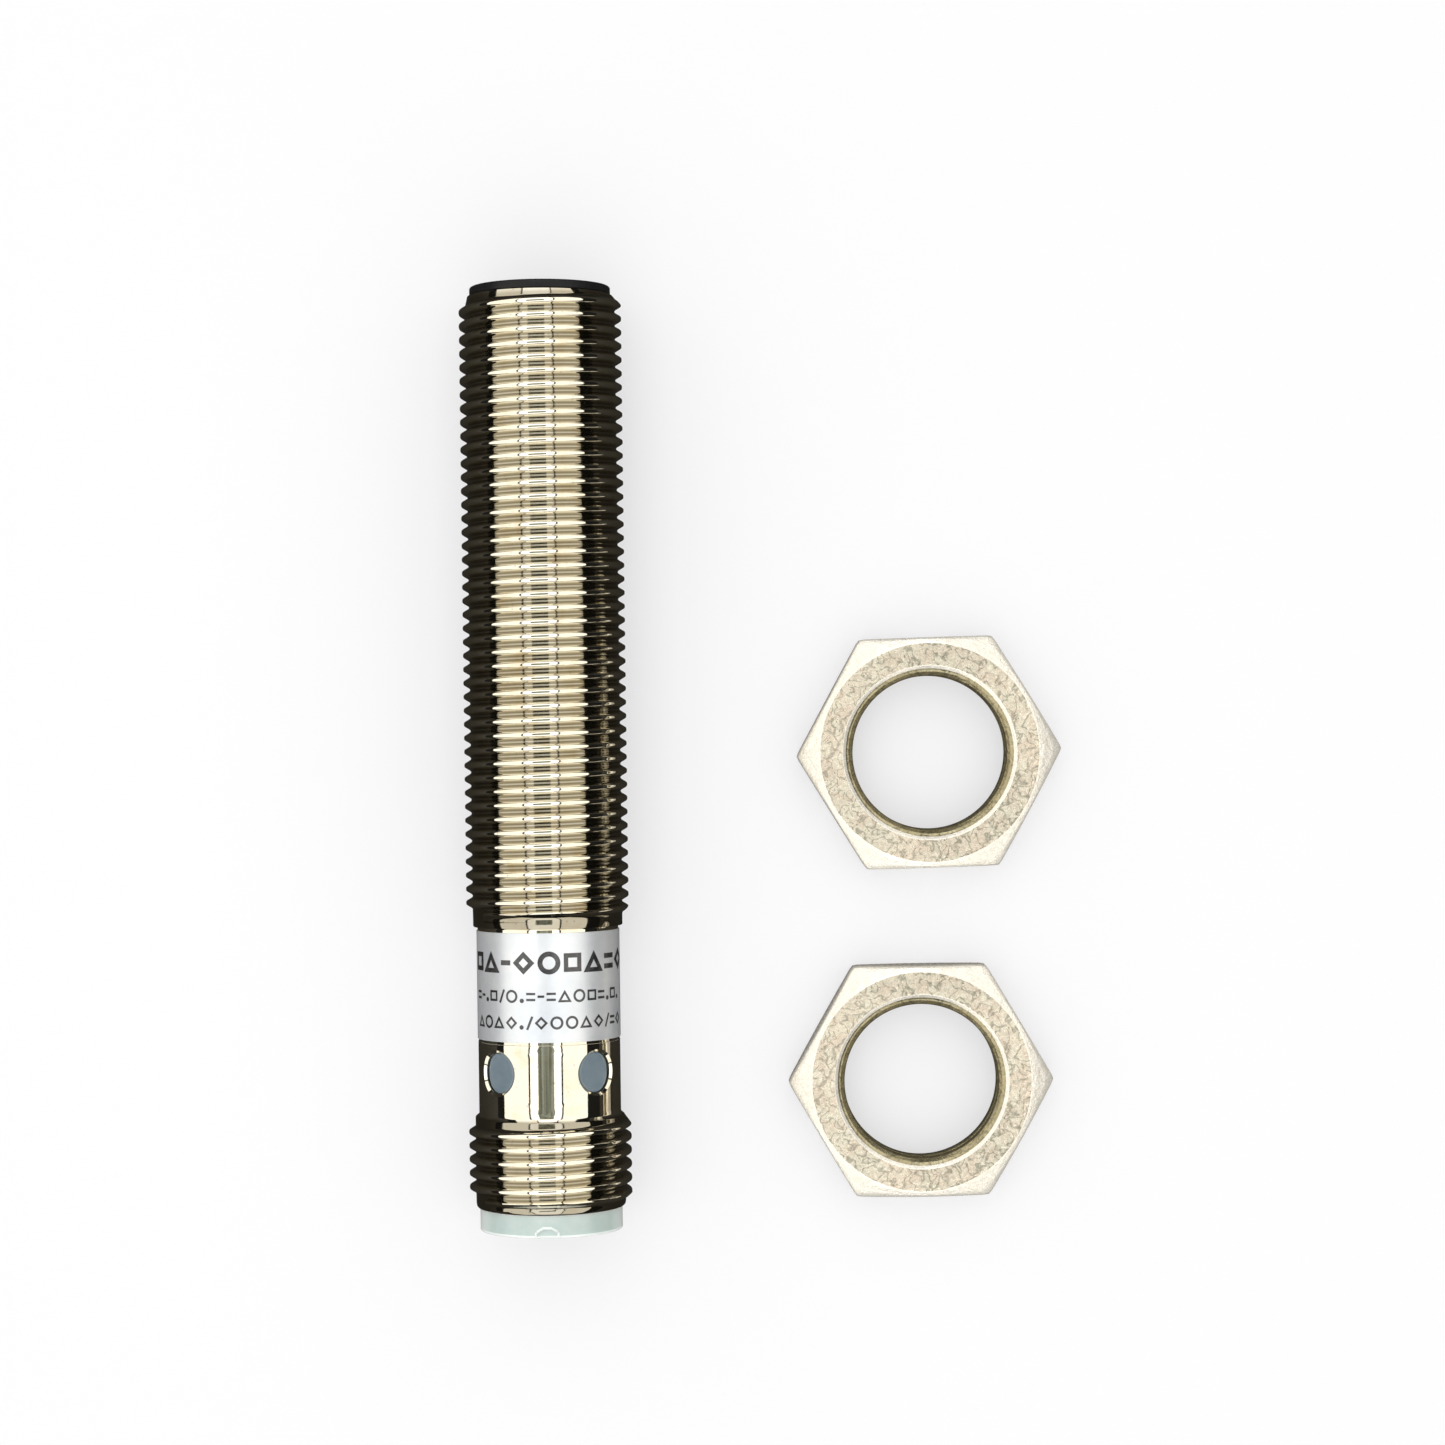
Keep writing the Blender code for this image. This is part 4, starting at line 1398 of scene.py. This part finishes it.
@dataclass
class ContactPin:
    """One gold contact of the plug."""

    number: int
    x: float
    z: float
    front: float
    tip: float
    radius: float = 0.5 * MM
    tail_radius: float = 0.34 * MM
    tail_length: float = 1.0 * MM
    bend: float = 0.3 * MM
    sides: int = 36

    @classmethod
    def from_frame(cls, number: int) -> "ContactPin":
        """Reads the place of the pin with this number."""
        low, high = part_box(f"pin_{number}")
        return cls(number, (low[0] + high[0]) / 2, (low[2] + high[2]) / 2, -high[1], -low[1])

    def build(self, finish: Material) -> None:
        """Makes the pin with a rounded tip.

        Args:
            finish: Its material.
        """
        skin = Surface()
        step = self.front + self.tail_length
        skin.prism(skin.rings((
            (self.tail_radius, self.front), (self.tail_radius, step),
            (self.radius, step + 0.05 * MM),
            *arc(self.radius - self.bend, self.tip - self.bend, self.bend, 0, 80, 6),
        ), self.sides))
        piece = skin.build(f"contact_{self.number}", [finish])
        piece.data.transform(Matrix.Translation((self.x, 0.0, self.z)))
        settle(piece, Body.SENSOR, "gold_plate", f"pin_{self.number}")


@dataclass
class MountingNut:
    """A chamfered hexagon nut with a threaded bore, lying flat. It is built on its own axis,
    with stations as heights above its base."""

    number: int
    body: Body
    centre: Spot
    base: float
    height: float
    turn: float
    sides: int = 192
    across_flats: float = 17.0 * MM
    face_radius: float = 8.12 * MM
    mouth_radius: float = 6.4 * MM
    minor_radius: float = 5.68 * MM
    major_radius: float = 6.0 * MM
    corner_bend: float = 0.35 * MM
    mouth_depth: float = 0.72 * MM
    lip: float = 0.2 * MM
    soft: float = 0.05 * MM

    @classmethod
    def from_frame(cls, number: int, body: Body, turn_deg: float) -> "MountingNut":
        """Reads one nut's place and height.

        Args:
            number: The nut's number.
            body: Its body.
            turn_deg: How far it is turned about its own axis.

        Returns:
            The nut.
        """
        low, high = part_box(f"mounting_nut_{number}")
        centre = ((low[0] + high[0]) / 2, (low[1] + high[1]) / 2)
        return cls(number, body, centre, low[2], high[2] - low[2], math.radians(turn_deg))

    def rim_radius(self, angle: float) -> float:
        """The hexagon's radius in one direction, with rounded corners.

        Args:
            angle: The direction, with a corner at 0.

        Returns:
            The radius.
        """
        half, sixth = self.across_flats / 2, math.pi / 6
        off = abs((angle + sixth) % (2 * sixth) - sixth)
        straight = half - self.corner_bend
        if sixth - off < math.atan(straight * math.tan(sixth) / half):
            return half / math.cos(sixth - off)
        reach = straight / math.cos(sixth)
        return reach * math.cos(off) + math.sqrt(self.corner_bend ** 2
                                                 - (reach * math.sin(off)) ** 2)

    def bore_radius(self, phase: float, station: float) -> float:
        """The bore's radius: thread between two mouths.

        Args:
            phase: Where along the pitch.
            station: How high above the nut's base.

        Returns:
            The radius there.
        """
        depth = min(station, self.height - station)
        fade = ease(share(depth, self.mouth_depth, self.mouth_depth + 0.35 * MM))
        crest = self.major_radius - self.minor_radius
        return self.minor_radius + crest * thread_height(phase) * fade

    def face_rings(self, skin: Surface, at_top: bool) -> list[list[int]]:
        """The rings of one face, from the bore's mouth to the hexagon's side.

        Args:
            skin: The surface that takes them.
            at_top: True for the upper face.

        Returns:
            The rings, from the inside out.
        """
        mouth, face, soft = self.mouth_radius, self.face_radius, self.soft
        ramp = ((0.09, 0.56), (0.18, 0.52), (0.25, 0.38), (0.34, 0.34))
        profile = (
            (self.minor_radius, self.mouth_depth),
            *((self.minor_radius + out * MM, drop * MM) for out, drop in ramp),
            (mouth - self.lip, self.lip + 0.6 * soft), (mouth, 0.6 * soft),
            (mouth + soft, 0.12 * soft), (mouth + 2.5 * soft, 0.0), ((mouth + face) / 2, 0.0),
            (face - 3 * soft, 0.0), (face - soft, 0.1 * soft), (face, 0.5 * soft),
        )
        rings = [skin.ring(radius, self.height - drop if at_top else drop, self.sides)
                 for radius, drop in profile]
        slope = math.tan(math.radians(30))
        for part in (0.25, 0.6, 0.92, 1.0):
            edge = 1.5 * soft if part == 1.0 else 0.5 * soft
            ring = []
            for angle in (TURN * index / self.sides for index in range(self.sides)):
                out = (self.rim_radius(angle) - face) * part
                drop = max(0.0, out) * slope + edge
                ring.append(skin.point(face + out, angle, self.height - drop if at_top else drop))
            rings.append(ring)
        return rings

    def build(self, finishes: dict[NutZone, Material]) -> None:
        """Makes the nut.

        Args:
            finishes: A material for each zone.
        """
        skin = Surface()
        faces = [self.face_rings(skin, at_top) for at_top in (False, True)]
        # The SIDE zone takes the lighter copy of the plate, a painted highlight; the BORE zone takes the
        # darker copy, a painted shade.
        spans = ((NutZone.BORE, 0, 6), (NutZone.SIDE, 5, 8), (NutZone.FACE, 7, 12),
                 (NutZone.SIDE, 11, len(faces[0])))
        for rings in faces:
            for zone, first, last in spans:
                skin.zone = zone.value
                skin.chain(rings[first:last])
        low, high = faces
        skin.bridge(low[-1], high[-1])
        skin.zone = NutZone.BORE.value
        start = self.mouth_depth + 0.03 * MM
        skin.helix(low[0], high[0], start, (self.height - 2 * start) / MM - 1.0,
                   self.bore_radius)
        skin.points = [(x, z, -y) for x, y, z in skin.points]
        piece = skin.build(f"hex_nut_{self.number}", [finishes[zone] for zone in NutZone], 50)
        piece.location = (*self.centre, self.base)
        piece.rotation_euler = (0.0, 0.0, self.turn)
        settle(piece, self.body, "nickel_plate", f"mounting_nut_{self.number}")


@dataclass
class InnerParts:
    """Gives every frame node that stays a finish of its own kind."""

    finishes: dict[str, Material]

    def dress(self, replaced: Sequence[str]) -> None:
        """Puts materials on the nodes that no new piece stands for.

        Args:
            replaced: The nodes that are replaced.
        """
        slots = {row["node"]: row["material_slot"] for row in frame["record"]["subparts"]}
        for name, node in frame["nodes"].items():
            if name not in replaced:
                node.data.materials.clear()
                node.data.materials.append(self.finishes[slots[name]])
                LOG.info("%s: finish %s", name, slots[name])


# --------------------------------------------------------------------------- studio


@dataclass
class SoftPanel:
    """One even light panel above the object, placed by its direction in the X-Z plane."""

    name: str
    low_deg: float
    high_deg: float
    radiance: float
    colour: Colour
    distance: float = 0.6
    length: float = 3.0
    middle_y: float = -0.035

    def build(self) -> None:
        """Adds the area light, which the camera doesn't see."""
        middle = math.radians((self.low_deg + self.high_deg) / 2)
        half = math.radians((self.high_deg - self.low_deg) / 2)
        light = bpy.data.lights.new(self.name, "AREA")
        light.shape = "RECTANGLE"
        light.size = 2 * self.distance * math.tan(half)
        light.size_y = self.length
        light.energy = self.radiance * math.pi * light.size * self.length
        light.color = self.colour
        lamp = show(light)
        lamp.location = (self.distance * math.sin(middle), self.middle_y,
                         self.distance * math.cos(middle))
        lamp.rotation_euler = (0.0, middle, 0.0)
        lamp.visible_camera = False


@dataclass
class Studio:
    """Floor, panels, dark card, world and camera."""

    floor: float
    floor_size: float = 1.2
    camera_place: Point = (12.95 * MM, -31.94 * MM, 244.0 * MM)
    camera_up: Point = (0.0131, 0.9999, 0.0)
    lens: float = 83.2

    def sheet(self, name: str, low: Spot, high: Spot, height: float, finish: Material) -> Object:
        """Makes one level sheet that isn't part of the object.

        Args:
            name: The sheet's name.
            low: Its corner with the lowest X and Y.
            high: Its corner with the highest X and Y.
            height: Its Z.
            finish: Its material.

        Returns:
            The sheet.
        """
        mesh = bpy.data.meshes.new(name)
        corners = (low, (high[0], low[1]), high, (low[0], high[1]))
        mesh.from_pydata([(*corner, height) for corner in corners], [], [(0, 1, 2, 3)])
        made = show(mesh, [finish])
        made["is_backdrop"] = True
        return made

    def build_card(self) -> None:
        """Adds the mottled card round the lens, which only reflections show."""
        coat = Coat("dark_card")
        mottle = coat.patches(55.0, 0.4, 0.62)
        finish = coat.done({"Base Color": coat.over((0.13, 0.14, 0.10), (0.42, 0.45, 0.40), mottle),
                            "Roughness": 0.8})
        card = self.sheet("dark_card", (-73 * MM, -110 * MM), (45 * MM, 50 * MM), 262 * MM, finish)
        for ray in ("camera", "diffuse", "transmission", "shadow", "volume_scatter"):
            setattr(card, f"visible_{ray}", False)

    def build_world(self) -> None:
        """Makes a dim surround that looks pale only behind the floor."""
        world = bpy.data.worlds.new("studio_surround")
        world.use_nodes = True
        bpy.context.scene.world = world
        wiring = Wiring(world.node_tree)
        seen = wiring.node("ShaderNodeLightPath").outputs["Is Camera Ray"]
        wiring.feed(wiring.blend(seen, (0.012, 0.012, 0.011), (0.955, 0.955, 0.955)),
                    world.node_tree.nodes["Background"].inputs["Color"])

    def build_camera(self) -> None:
        """Adds the camera that looks straight down."""
        data = bpy.data.cameras.new("camera")
        data.lens = self.lens
        data.sensor_width = 36.0
        data.clip_start = 0.01
        camera = show(data)
        up, back = Vector(self.camera_up).normalized(), Vector((0.0, 0.0, 1.0))
        camera.rotation_mode = "QUATERNION"
        turn = Matrix((up.cross(back).normalized(), up, back)).transposed()
        camera.rotation_quaternion = turn.to_quaternion()
        camera.location = self.camera_place
        bpy.context.scene.camera = camera

    def build(self) -> None:
        """Builds the whole studio."""
        bpy.context.scene.view_settings.view_transform = "Standard"
        half = self.floor_size / 2
        self.sheet("studio_floor", (-half, -half), (half, half), self.floor, StudioPaper().build())
        self.build_card()
        self.build_world()
        warm, white = (1.0, 0.97, 0.91), (1.0, 1.0, 1.0)
        SoftPanel("panel_left", -76.0, -31.2, 1.25, warm).build()
        SoftPanel("panel_middle", -28.4, 21.4, 1.6, white).build()
        SoftPanel("panel_right", 24.0, 66.0, 1.25, warm).build()
        self.build_camera()
        LOG.info("studio ready")


# --------------------------------------------------------------------------- main


def inner_finishes() -> dict[str, Material]:
    """A finish for each material slot of the pieces inside the tube.

    Returns:
        The materials by slot name.
    """
    plastics = {
        "ferrite": ("sintered_ferrite", (0.04, 0.04, 0.042), (0.08, 0.078, 0.075), 0.5, 0.75),
        "amber_plastic": ("natural_nylon", (0.62, 0.52, 0.36), (0.55, 0.44, 0.28)),
        "board_green": ("board_lacquer", (0.015, 0.16, 0.06), (0.03, 0.22, 0.09), 0.2, 0.35),
        "chip_black": ("moulded_epoxy", (0.02, 0.02, 0.022), (0.05, 0.05, 0.05)),
        "ceramic": ("tan_ceramic", (0.45, 0.33, 0.20), (0.55, 0.42, 0.28)),
        "tantalum_yellow": ("yellow_epoxy", (0.75, 0.52, 0.10), (0.65, 0.42, 0.06)),
        "led_body": ("led_epoxy", (0.85, 0.70, 0.25), (0.9, 0.8, 0.4), 0.1, 0.2),
        "potting_resin": ("cast_resin", (0.08, 0.09, 0.11), (0.12, 0.13, 0.15), 0.15, 0.4),
        "seal_rubber": ("seal_rubber", (0.02, 0.02, 0.02), (0.05, 0.05, 0.05), 0.6, 0.8),
        "wire_brown": ("brown_insulation", (0.20, 0.07, 0.03), (0.26, 0.10, 0.05)),
        "wire_white": ("white_insulation", (0.80, 0.80, 0.78), (0.70, 0.69, 0.64)),
        "wire_blue": ("blue_insulation", (0.03, 0.10, 0.45), (0.05, 0.15, 0.52)),
        "wire_black": ("black_insulation", (0.02, 0.02, 0.02), (0.05, 0.05, 0.05)),
    }
    copper = SmoothMetal("copper_wire", (0.80, 0.36, 0.20), (0.45, 0.17, 0.08)).build()
    return {"copper": copper,
            **{slot: MouldedPlastic(*values).build() for slot, values in plastics.items()}}


def nut_finishes() -> dict[NutZone, Material]:
    """A finish for each zone of a nut: the plain plate on the face, a lighter copy as painted highlight
    on the edges, chamfers and flanks, and a darker copy as painted shade in the bore.

    Returns:
        The materials by zone.
    """
    # A lighter, less metallic copy of the plate: painted highlight on the mouth's lip, the outer edge,
    # the chamfers and the flanks.
    side = PittedPlate("nut_side_plate_painted_highlight", light=(0.98, 0.95, 0.86), warm=(0.95, 0.88, 0.78),
                       dark=(0.60, 0.56, 0.46), speckle=0.35, low_roughness=0.16,
                       high_roughness=0.3, relief=0.25, metallic=0.45)
    # A darker copy of the plate: painted shade in the bore and its thread.
    bore = PittedPlate("nut_bore_plate_painted_shade", light=(0.52, 0.46, 0.29), warm=(0.36, 0.31, 0.17),
                       dark=(0.07, 0.065, 0.035), speckle=0.7, low_roughness=0.1,
                       high_roughness=0.22, relief=0.2, metallic=0.75)
    return {NutZone.FACE: PittedPlate("nut_face_plate").build(), NutZone.SIDE: side.build(),
            NutZone.BORE: bore.build()}


def main() -> None:
    """Builds the object and the studio."""
    logging.basicConfig(level=logging.INFO, format="%(name)s: %(message)s")
    frame_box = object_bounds()
    barrel = Barrel.from_frame()
    nickel = TurnedNickel().build()
    barrel.build_front(nickel)
    barrel.build_sleeve(nickel)
    SensingCap.from_frame().build(MouldedPlastic(
        "face_plastic", (0.010, 0.010, 0.011), (0.015, 0.015, 0.015), 0.25, 0.5, 0.2).build())
    label = Label.from_frame()
    label.build_film(SilverFoil().build())
    label.build_print(PrintedInk().build())
    # The third colour of each frosted plastic here and below is its painted sheen.
    LightGuide.from_frame(barrel).build(FrostedPlastic(
        "window_plastic", (0.17, 0.22, 0.26), (0.24, 0.30, 0.34), (0.30, 0.36, 0.40)).build())
    insert = FrostedPlastic("insert_plastic", (0.46, 0.56, 0.54), (0.56, 0.64, 0.62),
                            (0.88, 0.92, 0.91))
    # A lighter copy of the insert plastic: painted highlight on the collar's edges and key mark.
    insert_edge_highlight = FrostedPlastic("insert_painted_highlight_plastic", (0.76, 0.82, 0.81), (0.84, 0.88, 0.87),
                                (0.94, 0.95, 0.95))
    PlugInsert.from_frame().build(insert.build(), insert_edge_highlight.build())
    gold = SmoothMetal("gold_plate", (0.95, 0.70, 0.28), (0.85, 0.55, 0.18)).build()
    for number in range(1, 5):
        ContactPin.from_frame(number).build(gold)
    zones = nut_finishes()
    MountingNut.from_frame(1, Body.NUT_1, 1.2).build(zones)
    MountingNut.from_frame(2, Body.NUT_2, 0.2).build(zones)
    replaced = ["barrel", "connector_sleeve", "sensing_cap", "label", "light_guide",
                "connector_insert", "mounting_nut_1", "mounting_nut_2",
                *(f"pin_{number}" for number in range(1, 5))]
    InnerParts(inner_finishes()).dress(replaced)
    Studio(floor=frame_box[0][2]).build()


if __name__ == "__main__":
    main()
